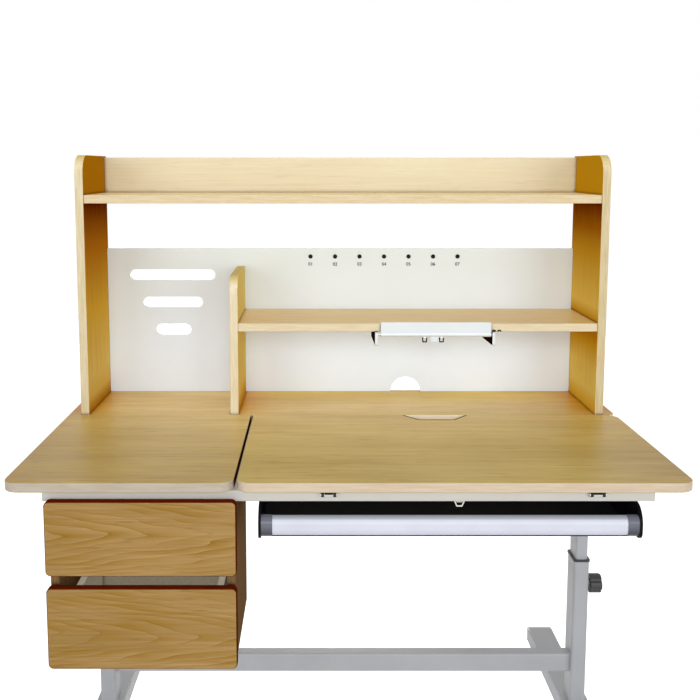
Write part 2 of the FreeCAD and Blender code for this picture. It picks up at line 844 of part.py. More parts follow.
def build_pen_drawer():
    """The pen drawer: a black tray with cheeks, a half-round bar with end caps, and its two rails."""
    x0 = tilt_left + pen_from_tilt_edge
    x1 = right - pen_right_margin
    z1 = frame_bottom - pen_drop
    z0 = z1 - pen_height
    y0 = front + pen_setback
    y1 = plate_front - pen_rear_gap
    bar_front = front + bar_setback
    bar_back = bar_front + bar_depth
    bar_bottom = z0 + bar_rise
    bar_top = bar_bottom + bar_height
    inner0 = x0 + pen_wall
    inner1 = x1 - pen_wall

    cheek_corners = [
        (y0, z0, pen_bottom_round), (y1, z0, pen_floor), (y1, z1, pen_floor), (y0, z1, pen_top_round),
    ]
    cheeks = [slab("x", x0, inner0, cheek_corners), slab("x", inner1, x1, cheek_corners)]
    tray_floor = block(inner0, inner1, bar_back, y1, z0, z0 + pen_floor)
    tray_front = block(inner0, inner1, bar_back, bar_back + pen_wall, z0, bar_top)
    tray_back = block(inner0, inner1, y1 - pen_wall, y1, z0, z1 - pen_rear_drop)
    flange_top = z1 - runner_flange_drop
    flange_bottom = flange_top - runner_flange_thickness
    flange_front = front + runner_flange_front
    flange_back = plate_front - runner_end_gap
    flanges = [
        block(x0 - runner_flange, x0, flange_front, flange_back, flange_bottom, flange_top),
        block(x1, x1 + runner_flange, flange_front, flange_back, flange_bottom, flange_top),
    ]
    add("pen_tray", tray_floor.multiFuse([tray_front, tray_back] + cheeks + flanges).removeSplitter())

    bar_corners = [
        (bar_front, bar_bottom, bar_round), (bar_back, bar_bottom, 0), (bar_back, bar_top, 0),
        (bar_front, bar_top, bar_round),
    ]
    bore_round = bar_round - bar_wall
    bore_corners = [
        (bar_front + bar_wall, bar_bottom + bar_wall, bore_round),
        (bar_back - bar_wall, bar_bottom + bar_wall, 0),
        (bar_back - bar_wall, bar_top - bar_wall, 0),
        (bar_front + bar_wall, bar_top - bar_wall, bore_round),
    ]
    bar_x0 = inner0 + bar_cap
    bar_x1 = inner1 - bar_cap
    bar = slab("x", bar_x0, bar_x1, bar_corners).cut(slab("x", bar_x0, bar_x1, bore_corners))
    add("pen_drawer_bar", bar)
    cap_corners = [
        (bar_front - bar_cap_edge, bar_bottom - bar_cap_edge, bar_round),
        (bar_back, bar_bottom - bar_cap_edge, 0),
        (bar_back, bar_top + bar_cap_edge, 0),
        (bar_front - bar_cap_edge, bar_top + bar_cap_edge, bar_round),
    ]
    add("pen_drawer_caps", slab("x", inner0, bar_x0, cap_corners), slab("x", bar_x1, inner1, cap_corners))

    rail_front_end = front + runner_front_setback
    rail_back_end = plate_front - runner_end_gap
    lip_top = flange_top + runner_gap
    lip_bottom = flange_bottom - runner_gap
    for side in sides:
        edge = x0 if side < 0 else x1
        web_in = edge + side * (runner_flange + runner_gap)
        web_out = web_in + side * runner_sheet
        hook = web_out - runner_hook
        lip_in = edge + side * runner_gap
        span = (rail_front_end, rail_back_end)
        web = block(
            min(web_in, web_out), max(web_in, web_out), *span, lip_bottom - runner_sheet, frame_bottom
        )
        lips = [
            block(min(lip_in, web_out), max(lip_in, web_out), *span, low, low + runner_sheet)
            for low in (lip_bottom - runner_sheet, lip_top)
        ]
        hanger = block(hook, max(web_in, web_out), *span, frame_bottom - runner_sheet, frame_bottom)
        add("pen_rails", web.multiFuse(lips + [hanger]).removeSplitter())


def drawer_front(z0, z1):
    """A drawer front with rounded corners and a finger grip cut into the back of its lower edge."""
    corners = rectangle(drawer_left, drawer_right, z0, z1, front_corner_round)
    shape = round_edges(slab("y", drawer_front_face, drawer_front_back, corners), front_edge)
    middle = (drawer_left + drawer_right) / 2
    grip = block(
        middle - grip_width / 2, middle + grip_width / 2,
        drawer_front_back - grip_depth, drawer_front_back, z0, z0 + grip_height,
    )
    return shape.cut(grip)


def build_drawer(name, z0, z1, lift):
    """One drawer of the cabinet: front, box and runner members, and the runners on the carcass."""
    add(name + "_drawer_front", drawer_front(z0, z1))
    y0 = drawer_front_back
    y1 = carcass_back - cabinet_panel - box_back_gap
    x0 = carcass_left + carcass + slide_space
    x1 = carcass_right - carcass - slide_space
    bottom = z0 + lift
    inner = (x0 + box_wall, x1 - box_wall)
    add(
        name + "_drawer_walls",
        block(x0, inner[0], y0, y1, bottom, bottom + box_height),
        block(inner[1], x1, y0, y1, bottom, bottom + box_height),
        block(*inner, y1 - box_wall, y1, bottom, bottom + box_height),
    )
    base_low = bottom + box_base_lift
    add(name + "_drawer_base", block(*inner, y0, y1 - box_wall, base_low, base_low + box_base))

    middle = bottom + box_height / 2
    channel_low = middle - slide_height / 2
    channel_high = middle + slide_height / 2
    member_low = channel_low + slide_sheet + slide_play
    member_high = channel_high - slide_sheet - slide_play
    for side in sides:
        wall = carcass_left + carcass if side < 0 else carcass_right - carcass
        box_side = x0 if side < 0 else x1
        reach = wall - side * slide_reach
        web_edge = wall - side * slide_sheet
        web = block(min(wall, web_edge), max(wall, web_edge), carcass_front, y1, channel_low, channel_high)
        lips = [
            block(min(wall, reach), max(wall, reach), carcass_front, y1, low, low + slide_sheet)
            for low in (channel_low, channel_high - slide_sheet)
        ]
        add("cabinet_runners", web.multiFuse(lips).removeSplitter())
        member_edge = box_side + side * slide_member
        add(name + "_drawer_runners", block(
            min(box_side, member_edge), max(box_side, member_edge), carcass_front, y1, member_low, member_high
        ))


def build_cabinet(hanging):
    """The hung cabinet: five carcass boards, bumpers, hanging bolts and two drawers."""
    upper_top = top - front_drop
    upper_bottom = upper_top - upper_front_height
    lower_top = upper_bottom - front_gap
    lower_bottom = lower_top - lower_front_height
    z0 = lower_bottom + carcass_lift
    z1 = frame_bottom
    inner = (carcass_left + carcass, carcass_right - carcass)
    span = (carcass_front, carcass_back)
    add(
        "cabinet_sides",
        block(carcass_left, inner[0], *span, z0, z1), block(inner[1], carcass_right, *span, z0, z1),
    )
    add("cabinet_top", block(*inner, *span, z1 - carcass, z1).cut(hanging))
    add("cabinet_bottom", block(*inner, *span, z0, z0 + carcass))
    back_face = carcass_back - cabinet_panel
    add("cabinet_back", block(*inner, back_face, carcass_back, z0 + carcass, z1 - carcass))
    add("desk_screws", *hanging)
    for low, high in ((upper_bottom, upper_top), (lower_bottom, lower_top)):
        for x in (carcass_left + bumper_inset, carcass_right - bumper_inset):
            for z in (low + bumper_inset + carcass_lift, high - bumper_inset - bumper_radius):
                bumper_front = drawer_front_back + bumper_gap
                add("rubber_pads", rod("y", bumper_radius, bumper_front, carcass_front, x, z))
    build_drawer("upper", upper_bottom, upper_top, upper_box_lift)
    build_drawer("lower", lower_bottom, lower_top, lower_box_lift)


def knob(side, x, z):
    """A clamp knob with lobes on its rim and a stud towards the column."""
    x1 = x + side * knob_length
    low = min(x, x1)
    high = max(x, x1)
    body = rod("x", knob_radius, low, high, column_middle, z)
    groove_reach = knob_radius + knob_groove_radius - knob_groove
    grooves = []
    for index in range(knob_lobes):
        turn = 2 * math.pi * index / knob_lobes
        y = column_middle + groove_reach * math.cos(turn)
        up = z + groove_reach * math.sin(turn)
        grooves.append(rod("x", knob_groove_radius, low, high, y, up))
    return round_edges(body.cut(grooves), knob_edge, lambda edge: lies_in(edge, "x", x1))


def build_legs(plate_bolts):
    """The telescopic legs: feet, outer and inner columns, bushes, plugs, clamp knobs and stretcher."""
    foot_top = foot_pad + foot_height
    inner_bottom = foot_top + column_foot_gap + height_down
    outer_top = inner_bottom + height_up + column_overlap
    plate_bottom = frame_bottom - column_plate
    outer_y0 = column_front - outer_gap - outer_wall
    outer_y1 = column_back + outer_gap + outer_wall
    bush_bottom = outer_top - bush_height
    knob_z = outer_top - knob_drop
    foot_y0 = column_middle - foot_length / 2
    foot_y1 = column_middle + foot_length / 2
    outer_half = column_width / 2 + outer_gap + outer_wall
    for side in sides:
        x = side * column_x
        x0 = x - column_width / 2
        x1 = x + column_width / 2
        column = tube(
            "z", inner_bottom, plate_bottom, x0, x1, column_front, column_back, column_wall, column_round
        )
        plate = block(
            x - column_plate_width / 2, x + column_plate_width / 2,
            plate_front, plate_back, plate_bottom, frame_bottom,
        )
        add("inner_columns", column.fuse(plate.cut(plate_bolts)).removeSplitter())

        face = x + side * outer_half
        nut_end = face + side * nut_length
        tip = x + side * (column_width / 2 + stud_tip_gap)
        knob_face = nut_end + side * knob_gap
        stud = rod("x", stud_radius, min(tip, knob_face), max(tip, knob_face), column_middle, knob_z)
        hole = rod("x", stud_radius + stud_fit, min(x, nut_end), max(x, nut_end), column_middle, knob_z)
        outer = tube(
            "z", foot_top, outer_top, x - outer_half, x + outer_half, outer_y0, outer_y1,
            outer_wall, column_round + outer_wall,
        )
        nut = rod("x", nut_radius, min(face, nut_end), max(face, nut_end), column_middle, knob_z)
        add("outer_columns", outer.fuse(nut).cut(hole).removeSplitter())
        add("clamp_knob_" + sides[side], knob(side, knob_face, knob_z).fuse(stud).removeSplitter())

        sleeve = slab("z", bush_bottom, outer_top, rectangle(
            x0 - outer_gap, x1 + outer_gap, column_front - outer_gap, column_back + outer_gap, column_round
        ))
        rim = slab("z", outer_top, outer_top + bush_rim, rectangle(
            x - outer_half - bush_rim_reach, x + outer_half + bush_rim_reach,
            outer_y0 - bush_rim_reach, outer_y1 + bush_rim_reach, column_round + outer_wall,
        ))
        passage = slab("z", bush_bottom, outer_top + bush_rim, rectangle(
            x0 - bush_fit, x1 + bush_fit, column_front - bush_fit, column_back + bush_fit, column_round
        ))
        add("column_bushes", sleeve.fuse(rim).cut(passage).removeSplitter())
        plug = slab("z", inner_bottom, inner_bottom + plug_height, rectangle(
            x0 + column_wall, x1 - column_wall, column_front + column_wall, column_back - column_wall,
            column_round - column_wall,
        ))
        shoe_play = outer_gap - bush_fit
        shoe = slab("z", inner_bottom - shoe_height, inner_bottom, rectangle(
            x0 - shoe_play, x1 + shoe_play, column_front - shoe_play, column_back + shoe_play, column_round
        ))
        add("column_plugs", plug.fuse(shoe).removeSplitter())

        foot = tube(
            "y", foot_y0, foot_y1, x - foot_width / 2, x + foot_width / 2, foot_pad, foot_top,
            outer_wall, foot_round,
        )
        add("feet", foot)
        for end, y in ((-1, foot_y0), (1, foot_y1)):
            y_out = y + end * foot_cap
            cover = slab("y", min(y, y_out), max(y, y_out), rectangle(
                x - foot_width / 2, x + foot_width / 2, foot_pad, foot_top, foot_round
            ))
            add("foot_caps", round_edges(cover, foot_cap_edge, lambda edge: lies_in(edge, "y", y_out)))
            pad_y = y - end * foot_pad_inset
            add("foot_pads", rod("z", foot_pad_radius, 0, foot_pad, x, pad_y))
    stretcher_end = column_x - outer_half
    add("stretcher", tube(
        "x", -stretcher_end, stretcher_end,
        column_middle - stretcher_depth / 2, column_middle + stretcher_depth / 2,
        stretcher_level, stretcher_level + stretcher_height, outer_wall, foot_round,
    ))


def main():
    """Builds every piece and writes one file per node."""
    hanging = cabinet_bolts()
    spacers, screws = board_fasteners()
    build_boards(screws)
    build_book_rest()
    plate_bolts = build_frame(spacers, screws, hanging)
    build_hinges()
    build_prop()
    build_pull()
    build_pen_drawer()
    build_cabinet(hanging)
    build_legs(plate_bolts)
    os.makedirs("parts", exist_ok=True)
    for name, solids in nodes.items():
        pieces = [solid for shape in solids for solid in shape.Solids]
        shape = pieces[0] if len(pieces) == 1 else Part.makeCompound(pieces)
        shape.exportStep("parts/" + name + ".step")
        print(name, len(pieces), "solid(s)", round(shape.Volume))
    print(len(nodes), "nodes")


main()
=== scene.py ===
"""Looks of the student desk with hutch: finishes, small added pieces, studio light and camera."""

import logging
import math
from abc import ABC, abstractmethod
from dataclasses import dataclass, field
from enum import Enum
from typing import Any

import bpy
import numpy as np
from bpy.types import Node, NodeSocket, NodeTree
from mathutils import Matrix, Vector


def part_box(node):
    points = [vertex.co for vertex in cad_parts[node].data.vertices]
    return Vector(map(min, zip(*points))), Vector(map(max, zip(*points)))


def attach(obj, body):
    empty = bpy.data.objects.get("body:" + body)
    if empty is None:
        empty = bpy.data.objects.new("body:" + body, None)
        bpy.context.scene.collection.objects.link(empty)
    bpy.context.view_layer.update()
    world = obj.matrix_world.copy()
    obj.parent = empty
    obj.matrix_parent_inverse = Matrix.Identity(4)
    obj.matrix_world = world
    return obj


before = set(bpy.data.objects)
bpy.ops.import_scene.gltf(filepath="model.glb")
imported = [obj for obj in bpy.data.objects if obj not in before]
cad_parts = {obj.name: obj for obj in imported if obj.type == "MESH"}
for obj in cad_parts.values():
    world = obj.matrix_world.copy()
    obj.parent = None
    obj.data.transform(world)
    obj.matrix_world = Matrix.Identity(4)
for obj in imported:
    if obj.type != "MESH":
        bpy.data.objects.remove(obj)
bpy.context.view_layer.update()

LOG = logging.getLogger("desk")
MM = 0.001
NOISE_ROUGHNESS = 0.6

Span = tuple[float, float]
WHOLE: Span = (0.0, 1.0)

# Inputs of the node that mixes colours, and of the one that maps a range.
SHARE, UNDER, OVER = 0, 6, 7
VALUE, LOW, HIGH, START, END = range(5)


class Axis(Enum):
    """Axes of the part: X to the right, Y to the back, Z up."""

    X = 0
    Y = 1
    Z = 2


class Measure(Enum):
    """What a coordinate is taken from: the place on the part, or the way that a face looks."""

    PLACE = "Object"
    NORMAL = "Normal"


class Layer(Enum):
    """Patterns of a printed board, each with its own shift so that no two of them run together."""

    FIBRE = 0.0
    WAVE = 2.0
    PORE = 3.0
    CLOUD = 5.0
    PATCH = 6.0
    SHADED_INNER = 7.0
    FLECK = 9.0


class Body(Enum):
    """Bodies of the part that carry new pieces."""

    DESK = "desk"
    TILT_BOARD = "tilt_board"


class Slot(Enum):
    """Material slots of the part."""

    INK = "black_plastic"
    SEAL = "rubber"
    SCREW = "zinc_steel"
    PLUG = "grey_plastic"


def linear(code: str) -> tuple[float, float, float, float]:
    """Turns an sRGB hex colour into linear light.

    Args:
        code: six hex digits, two each for red, green and blue.

    Returns:
        Linear red, green, blue and full alpha.
    """
    values = np.array([int(code[i:i + 2], 16) for i in (0, 2, 4)]) / 255.0
    light = np.where(values <= 0.04045, values / 12.92, ((values + 0.055) / 1.055) ** 2.4)
    return (*light.tolist(), 1.0)


def add_node(tree: NodeTree, kind: str, inputs: dict[Any, Any] | None = None, **settings: Any) -> Node:
    """Adds a node with its settings, its input values and its links.

    Args:
        tree: the node tree that takes the node.
        kind: the node's type name, without its first part that all shader nodes share.
        inputs: value, output socket or node for each input, by name or index. A node stands for the
            first of its outputs that is in use.
        settings: properties of the node itself.

    Returns:
        The new node.
    """
    node = tree.nodes.new("ShaderNode" + kind)
    for name, value in settings.items():
        setattr(node, name, value)
    for key, value in (inputs or {}).items():
        if isinstance(value, Node):
            value = next(socket for socket in value.outputs if socket.enabled)
        if isinstance(value, NodeSocket):
            tree.links.new(value, node.inputs[key])
        else:
            node.inputs[key].default_value = value
    return node


def within(span: Span) -> dict[int, float]:
    """Inputs of a range that runs from the first value of a span to the second."""
    return dict(zip((LOW, HIGH), span))


def part(tree: NodeTree, axis: Axis, measure: Measure = Measure.PLACE) -> NodeSocket:
    """The part of the place or of the normal that lies along an axis."""
    source = add_node(tree, "TexCoord").outputs[measure.value]
    return add_node(tree, "SeparateXYZ", {0: source}).outputs[axis.value]


def along(tree: NodeTree, axis: Axis, span: Span) -> Node:
    """0 where a span starts along an axis and 1 where it ends."""
    return add_node(tree, "MapRange", {VALUE: part(tree, axis), **within(span)})


def overlaid(
    tree: NodeTree, value: Any, span: Span, under: Any, over: Any, full: float = 1.0, **settings: Any
) -> Node:
    """Lays a colour over another one where a value runs through a span.

    Args:
        tree: the material's nodes.
        value: the noise, coordinate or share that decides.
        span: the value where the upper colour starts and the one where it is full.
        under: the lower colour, as a node or in linear light.
        over: the upper colour, as a node or in linear light.
        full: how much of the upper colour there is at the end of the span.
        settings: how the two colours mix.

    Returns:
        The colour.
    """
    share = add_node(tree, "MapRange", {VALUE: value, **within(span), END: full})
    return add_node(tree, "Mix", {SHARE: share, UNDER: under, OVER: over}, data_type="RGBA", **settings)


def long_sizes(axis: Axis, sizes_mm: Span) -> tuple[float, ...]:
    """Sizes along X, Y and Z: the first of two sizes on one axis and the second on the others."""
    return tuple(sizes_mm[0] if each is axis else sizes_mm[1] for each in Axis)


def pattern(tree: NodeTree, sizes_mm: tuple[float, ...], detail: float, shift: float = 0.0) -> Node:
    """A noise whose blotches have a real size along each axis.

    Args:
        tree: the material's nodes.
        sizes_mm: size of a blotch along X, Y and Z.
        detail: how many finer noises lie on the first.
        shift: shift of the pattern, which sets two boards apart.

    Returns:
        The noise, about 0.5 on average.
    """
    place = add_node(tree, "TexCoord").outputs[Measure.PLACE.value]
    scale = tuple(1.0 / (size * MM) for size in sizes_mm)
    moved = add_node(tree, "Mapping", {"Vector": place, "Scale": scale, "Location": (shift,) * 3})
    return add_node(
        tree, "TexNoise", {"Vector": moved, "Scale": 1.0, "Detail": detail, "Roughness": NOISE_ROUGHNESS}
    )


@dataclass(frozen=True)
class Finish(ABC):
    """A finish: its nodes give the inputs of one principled shader."""

    name: str

    @abstractmethod
    def shade(self, tree: NodeTree) -> dict[str, Any]:
        """Adds the finish's nodes.

        Args:
            tree: the material's nodes.

        Returns:
            Inputs of the shader by name.
        """

    def material(self) -> bpy.types.Material:
        """Makes the material once and gives it again after that.

        Returns:
            The material of this finish.
        """
        material = bpy.data.materials.get(self.name)
        if material is None:
            material = bpy.data.materials.new(self.name)
            material.use_nodes = True
            tree = material.node_tree
            tree.nodes.clear()
            shader = add_node(tree, "BsdfPrincipled", self.shade(tree))
            add_node(tree, "OutputMaterial", {"Surface": shader})
        return material


@dataclass(frozen=True)
class PrintedBoard(Finish):
    """Melamine-faced board: printed wood fibres under satin lacquer, and a plastic band round the edge.

    The eye gets long fibres with short dark flecks on the faces, and paler, plainer edges.
    """

    grain: Axis
    face: Axis
    face_hex: str
    fibre_hex: str
    edge_hex: str
    edge_fibre_hex: str
    # Printed fibres are under a millimetre wide, so they are drawn a few times coarser to show at all.
    fibre_mm: Span = (170.0, 4.2)
    cloud_mm: Span = (420.0, 110.0)
    fleck_mm: Span = (60.0, 5.0)
    edge_mm: Span = (46.0, 4.0)
    # Where a mark starts on its noise and where it is full.
    fibre_from: Span = (0.65, 1.4)
    fleck_from: Span = (0.6, 0.76)
    edge_from: Span = (0.35, 0.7)
    pore_from: Span = (0.3, 0.7)
    fibre_share: float = 0.8
    fleck_share: float = 0.5
    # How squarely a surface has to look along the face's axis to be printed.
    face_from: Span = (0.5, 0.6)
    # Painted shade: ambient occlusion darkens the colour in the corners where boards meet.
    corner_shade_hex: str = "6e4a14"
    corner_mm: float = 9.0
    corner_from: Span = (0.85, 0.5)
    corner_shade_share: float = 0.7
    corner_samples: int = 6
    pore_depth_mm: float = 0.1
    pore_strength: float = 0.12
    roughness: float = 0.4
    roughness_spread: float = 0.05
    specular: float = 0.4
    drift: float = 0.0

    def marks(self, tree: NodeTree, sizes_mm: Span, layer: Layer, detail: float) -> Node:
        """One of the board's patterns, by its length on the grain and its width across it."""
        return pattern(tree, long_sizes(self.grain, sizes_mm), detail, self.drift + layer.value)

    def face_colour(self, tree: NodeTree) -> Node:
        """Colour of the faces: fibres, broad clouds of tone and dark flecks.

        Args:
            tree: the material's nodes.

        Returns:
            The colour.
        """
        fibres = self.marks(tree, self.fibre_mm, Layer.FIBRE, detail=3.0)
        clouds = self.marks(tree, self.cloud_mm, Layer.CLOUD, detail=2.0)
        flecks = self.marks(tree, self.fleck_mm, Layer.FLECK, detail=1.0)
        both = add_node(tree, "Math", {0: fibres, 1: clouds}, operation="ADD")
        dark = linear(self.fibre_hex)
        streaked = overlaid(tree, both, self.fibre_from, linear(self.face_hex), dark, self.fibre_share)
        return overlaid(
            tree, flecks, self.fleck_from, streaked, dark, self.fleck_share, blend_type="MULTIPLY"
        )

    def edge_colour(self, tree: NodeTree) -> Node:
        """Colour of the edge band: faint streaks along the grain."""
        streaks = self.marks(tree, self.edge_mm, Layer.FIBRE, detail=2.0)
        return overlaid(tree, streaks, self.edge_from, linear(self.edge_hex), linear(self.edge_fibre_hex))

    def shade(self, tree: NodeTree) -> dict[str, Any]:
        """Adds the board's nodes.

        Args:
            tree: the material's nodes.

        Returns:
            Inputs of the shader by name.
        """
        squareness = add_node(
            tree, "Math", {0: part(tree, self.face, Measure.NORMAL)}, operation="ABSOLUTE"
        )
        edge, face = self.edge_colour(tree), self.face_colour(tree)
        colour = overlaid(tree, squareness, self.face_from, edge, face)
        # Painted shade in the corners, from ambient occlusion.
        clear = add_node(
            tree, "AmbientOcclusion", {"Distance": self.corner_mm * MM}, samples=self.corner_samples
        )
        corner_shaded = overlaid(
            tree, clear.outputs["AO"], self.corner_from, colour, linear(self.corner_shade_hex), self.corner_shade_share,
            blend_type="MULTIPLY",
        )
        pores = self.marks(tree, self.fibre_mm, Layer.PORE, detail=4.0)
        bump = add_node(
            tree, "Bump",
            {"Strength": self.pore_strength, "Distance": self.pore_depth_mm * MM, "Height": pores},
        )
        low, high = self.roughness - self.roughness_spread, self.roughness + self.roughness_spread
        roughness = add_node(
            tree, "MapRange", {VALUE: pores, **within(self.pore_from), START: low, END: high}
        )
        return {
            "Base Color": corner_shaded, "Roughness": roughness, "Specular IOR Level": self.specular,
            "Normal": bump,
        }


@dataclass(frozen=True)
class Upright(PrintedBoard):
    """A printed upright whose inner face is painted amber for the shade inside the hutch, with painted shade
    deeper under the shelves and at its foot, and painted shade on the top of its edge band.

    The eye gets a warm inside that sets off the pale front edges.
    """

    inner_from: Span = (0.4, 0.6)
    inner_fibre_hex: str = "9a5c00"
    inner_fibre_from: Span = (0.35, 0.8)
    inner_fibre_share: float = 0.35
    # Height in metres and colour of the painted shade on the inner face, from the desk up.
    shade_stops: tuple[tuple[float, str], ...] = field(kw_only=True)
    top_shade_hex: str = "bba871"
    top_from: Span = (0.4, 0.9)

    def edge_colour(self, tree: NodeTree) -> Node:
        """Colour of the edge band, with painted shade where it lies on top."""
        top = part(tree, Axis.Z, Measure.NORMAL)
        return overlaid(tree, top, self.top_from, super().edge_colour(tree), linear(self.top_shade_hex))

    def face_colour(self, tree: NodeTree) -> Node:
        """Colour of the faces, with the painted amber shade on the inner one.

        Args:
            tree: the material's nodes.

        Returns:
            The colour.
        """
        inner_shade: Any = linear(self.shade_stops[0][1])
        for (low, _), (high, code) in zip(self.shade_stops, self.shade_stops[1:]):
            inner_shade = overlaid(tree, part(tree, Axis.Z), (low, high), inner_shade, linear(code))
        fibres = self.marks(tree, self.fibre_mm, Layer.SHADED_INNER, detail=3.0)
        dark = linear(self.inner_fibre_hex)
        shaded_inner = overlaid(tree, fibres, self.inner_fibre_from, inner_shade, dark, self.inner_fibre_share)
        inner = part(tree, Axis.X, Measure.NORMAL)
        return overlaid(tree, inner, self.inner_from, super().face_colour(tree), shaded_inner)


@dataclass(frozen=True)
class DeskBoard(PrintedBoard):
    """A desk board with painted light on its print: painted sheen pales it towards the hutch, so that it
    looks deeper towards the front, and painted shade darkens both ends.

    The eye gets a honey front that pales towards the hutch, and painted amber reflections at the foot of
    panel and uprights.
    """

    # Painted light laid over the print: sheen at the back, shade at both ends, amber reflections at the foot
    # of panel and uprights, and light on the rear edges.
    sheen_front_hex: str = "d8d4c0"
    side_shade_hex: str = "e8dcae"
    foot_reflection_hex: str = "f0e680"
    warm_reflection_hex: str = "f2c842"
    lit_rear_edge_hex: str = "fbeacd"
    # Where a tone starts and where it is full, in metres along Y or X.
    sheen_front_y: Span = (0.2, -0.2)
    side_shade_x: Span = (0.38, 0.6)
    foot_y: Span = (0.2, 0.29)
    foot_x: Span = (-0.3, -0.18)
    warm_y: Span = (0.1, 0.16)
    # How far the painted amber reflection reaches from the divider and from the right and the left upright.
    divider_reach: float = 117.0 * MM
    right_reach: float = 104.5 * MM
    left_reach: float = 64.5 * MM
    divider_soft: float = 0.5 * MM

    def foot(self, tree: NodeTree) -> Node:
        """1 at the foot of the back panel, right of the divider, where a painted amber reflection lies."""
        shares = {0: along(tree, Axis.X, self.foot_x), 1: along(tree, Axis.Y, self.foot_y)}
        return add_node(tree, "Math", shares, operation="MULTIPLY")

    def reflected_warmth(self, tree: NodeTree) -> Node:
        """1 at the foot of an upright's amber face, where its painted reflection lies on the desk, falling
        with the square of the reach that is left.

        Args:
            tree: the material's nodes.

        Returns:
            The share.
        """
        divider_left, divider_right = (corner.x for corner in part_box("hutch_divider"))
        middle = (divider_left + divider_right) / 2.0
        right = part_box("hutch_side_right")[0].x
        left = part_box("hutch_side_left")[1].x
        by_divider, past_divider, by_right, by_left = (
            along(tree, Axis.X, span)
            for span in (
                (divider_right + self.divider_reach, divider_right),
                (middle - self.divider_soft, middle + self.divider_soft),
                (right - self.right_reach, right),
                (left + self.left_reach, left),
            )
        )
        back = along(tree, Axis.Y, self.warm_y)
        centre = add_node(tree, "Math", {0: by_divider, 1: past_divider}, operation="MULTIPLY")
        ends = add_node(tree, "Math", {0: by_right, 1: by_left}, operation="MAXIMUM")
        near = add_node(tree, "Math", {0: centre, 1: ends}, operation="MAXIMUM")
        square = add_node(tree, "Math", {0: near, 1: near}, operation="MULTIPLY")
        return add_node(tree, "Math", {0: square, 1: back}, operation="MULTIPLY")

    def face_colour(self, tree: NodeTree) -> Node:
        """Colour of the faces, with painted sheen, painted shade and painted reflections laid over the print
        one by one.

        Args:
            tree: the material's nodes.

        Returns:
            The colour.
        """
        colour = super().face_colour(tree)
        # Painted shade at both ends of the board, beyond the hutch.
        off = add_node(tree, "Math", {0: part(tree, Axis.X)}, operation="ABSOLUTE")
        tones = (
            (part(tree, Axis.Y), self.sheen_front_y, self.sheen_front_hex),
            (off, self.side_shade_x, self.side_shade_hex),
            (self.foot(tree), WHOLE, self.foot_reflection_hex),
            (self.reflected_warmth(tree), WHOLE, self.warm_reflection_hex),
        )
        for value, span, code in tones:
            colour = overlaid(tree, value, span, colour, linear(code), blend_type="MULTIPLY")
        return colour

    def edge_colour(self, tree: NodeTree) -> Node:
        """Colour of the edge band, with painted light that keeps it pale at the back."""
        pale = linear(self.lit_rear_edge_hex)
        return overlaid(tree, part(tree, Axis.Y), self.sheen_front_y, pale, super().edge_colour(tree))


@dataclass(frozen=True)
class CathedralFront(PrintedBoard):
    """A printed drawer front with a flat-sawn figure: nested arches that close towards the right.

    The eye gets soft ochre arches with thin dark lines on tan wood, and a red-brown band round the edge.
    """

    face_from: Span = (0.88, 0.93)
    fleck_share: float = 0.3
    fibre_share: float = 0.85
    fibre_mm: Span = (260.0, 5.0)
    specular: float = 0.0
    band_hex: str = "8e6a22"
    centre_mm: Span = (-236.0, 547.0)
    arch_mm: Span = (125.0, 16.0)
    ring_mm: float = 83.0
    wave_mm: tuple[float, ...] = (160.0, 160.0, 24.0)
    wave_share: float = 1.2
    patch_from: Span = (0.35, 0.65)
    band_from: Span = (1.0, 0.05)
    band_least: float = 0.1
    band_share: float = 0.85
    line_from: Span = (0.14, 0.0)
    line_share: float = 0.3

    def rings(self, tree: NodeTree) -> Node:
        """Rings of even x plus the root of one and the squared height, pushed about by slow waves.

        Args:
            tree: the material's nodes.

        Returns:
            0 where a ring starts, rising to 1 where the next one does.
        """
        arch_x, arch_z = self.arch_mm
        centre_x, centre_z = self.centre_mm
        scaled = add_node(
            tree, "Mapping",
            {
                "Vector": add_node(tree, "TexCoord").outputs[Measure.PLACE.value],
                "Scale": (1.0 / (arch_x * MM), 1.0, 1.0 / (arch_z * MM)),
                "Location": (-centre_x / arch_x, 0.0, -centre_z / arch_z),
            },
        )
        parts = add_node(tree, "SeparateXYZ", {0: scaled})
        x, up = parts.outputs["X"], parts.outputs["Z"]
        waves = pattern(tree, self.wave_mm, 1.0, self.drift + Layer.WAVE.value)
        squared = add_node(tree, "Math", {0: up, 1: up, 2: 1.0}, operation="MULTIPLY_ADD")
        root = add_node(tree, "Math", {0: squared}, operation="SQRT")
        arch = add_node(tree, "Math", {0: x, 1: root}, operation="ADD")
        bent = add_node(tree, "Math", {0: waves, 1: self.wave_share, 2: arch}, operation="MULTIPLY_ADD")
        count = add_node(tree, "Math", {0: bent, 1: arch_x / self.ring_mm}, operation="MULTIPLY")
        return add_node(tree, "Math", {0: count}, operation="FRACT")

    def face_colour(self, tree: NodeTree) -> Node:
        """Colour of the face: each ring starts with a dark line and an ochre band that fades.

        Args:
            tree: the material's nodes.

        Returns:
            The colour.
        """
        ring = self.rings(tree)
        patches = pattern(tree, self.wave_mm, 1.0, self.drift + Layer.PATCH.value)
        share = add_node(
            tree, "MapRange",
            {VALUE: patches, **within(self.patch_from), START: self.band_least, END: self.band_share},
        )
        early = add_node(tree, "MapRange", {VALUE: ring, **within(self.band_from)})
        band = add_node(tree, "Math", {0: early, 1: share}, operation="MULTIPLY")
        banded = overlaid(tree, band, WHOLE, super().face_colour(tree), linear(self.band_hex))
        return overlaid(tree, ring, self.line_from, banded, linear(self.fibre_hex), self.line_share)


@dataclass(frozen=True)
class Tone:
    """Another colour that a surface takes on one side, or above a height."""

    code: str
    axis: Axis
    span: Span
    measure: Measure = Measure.PLACE


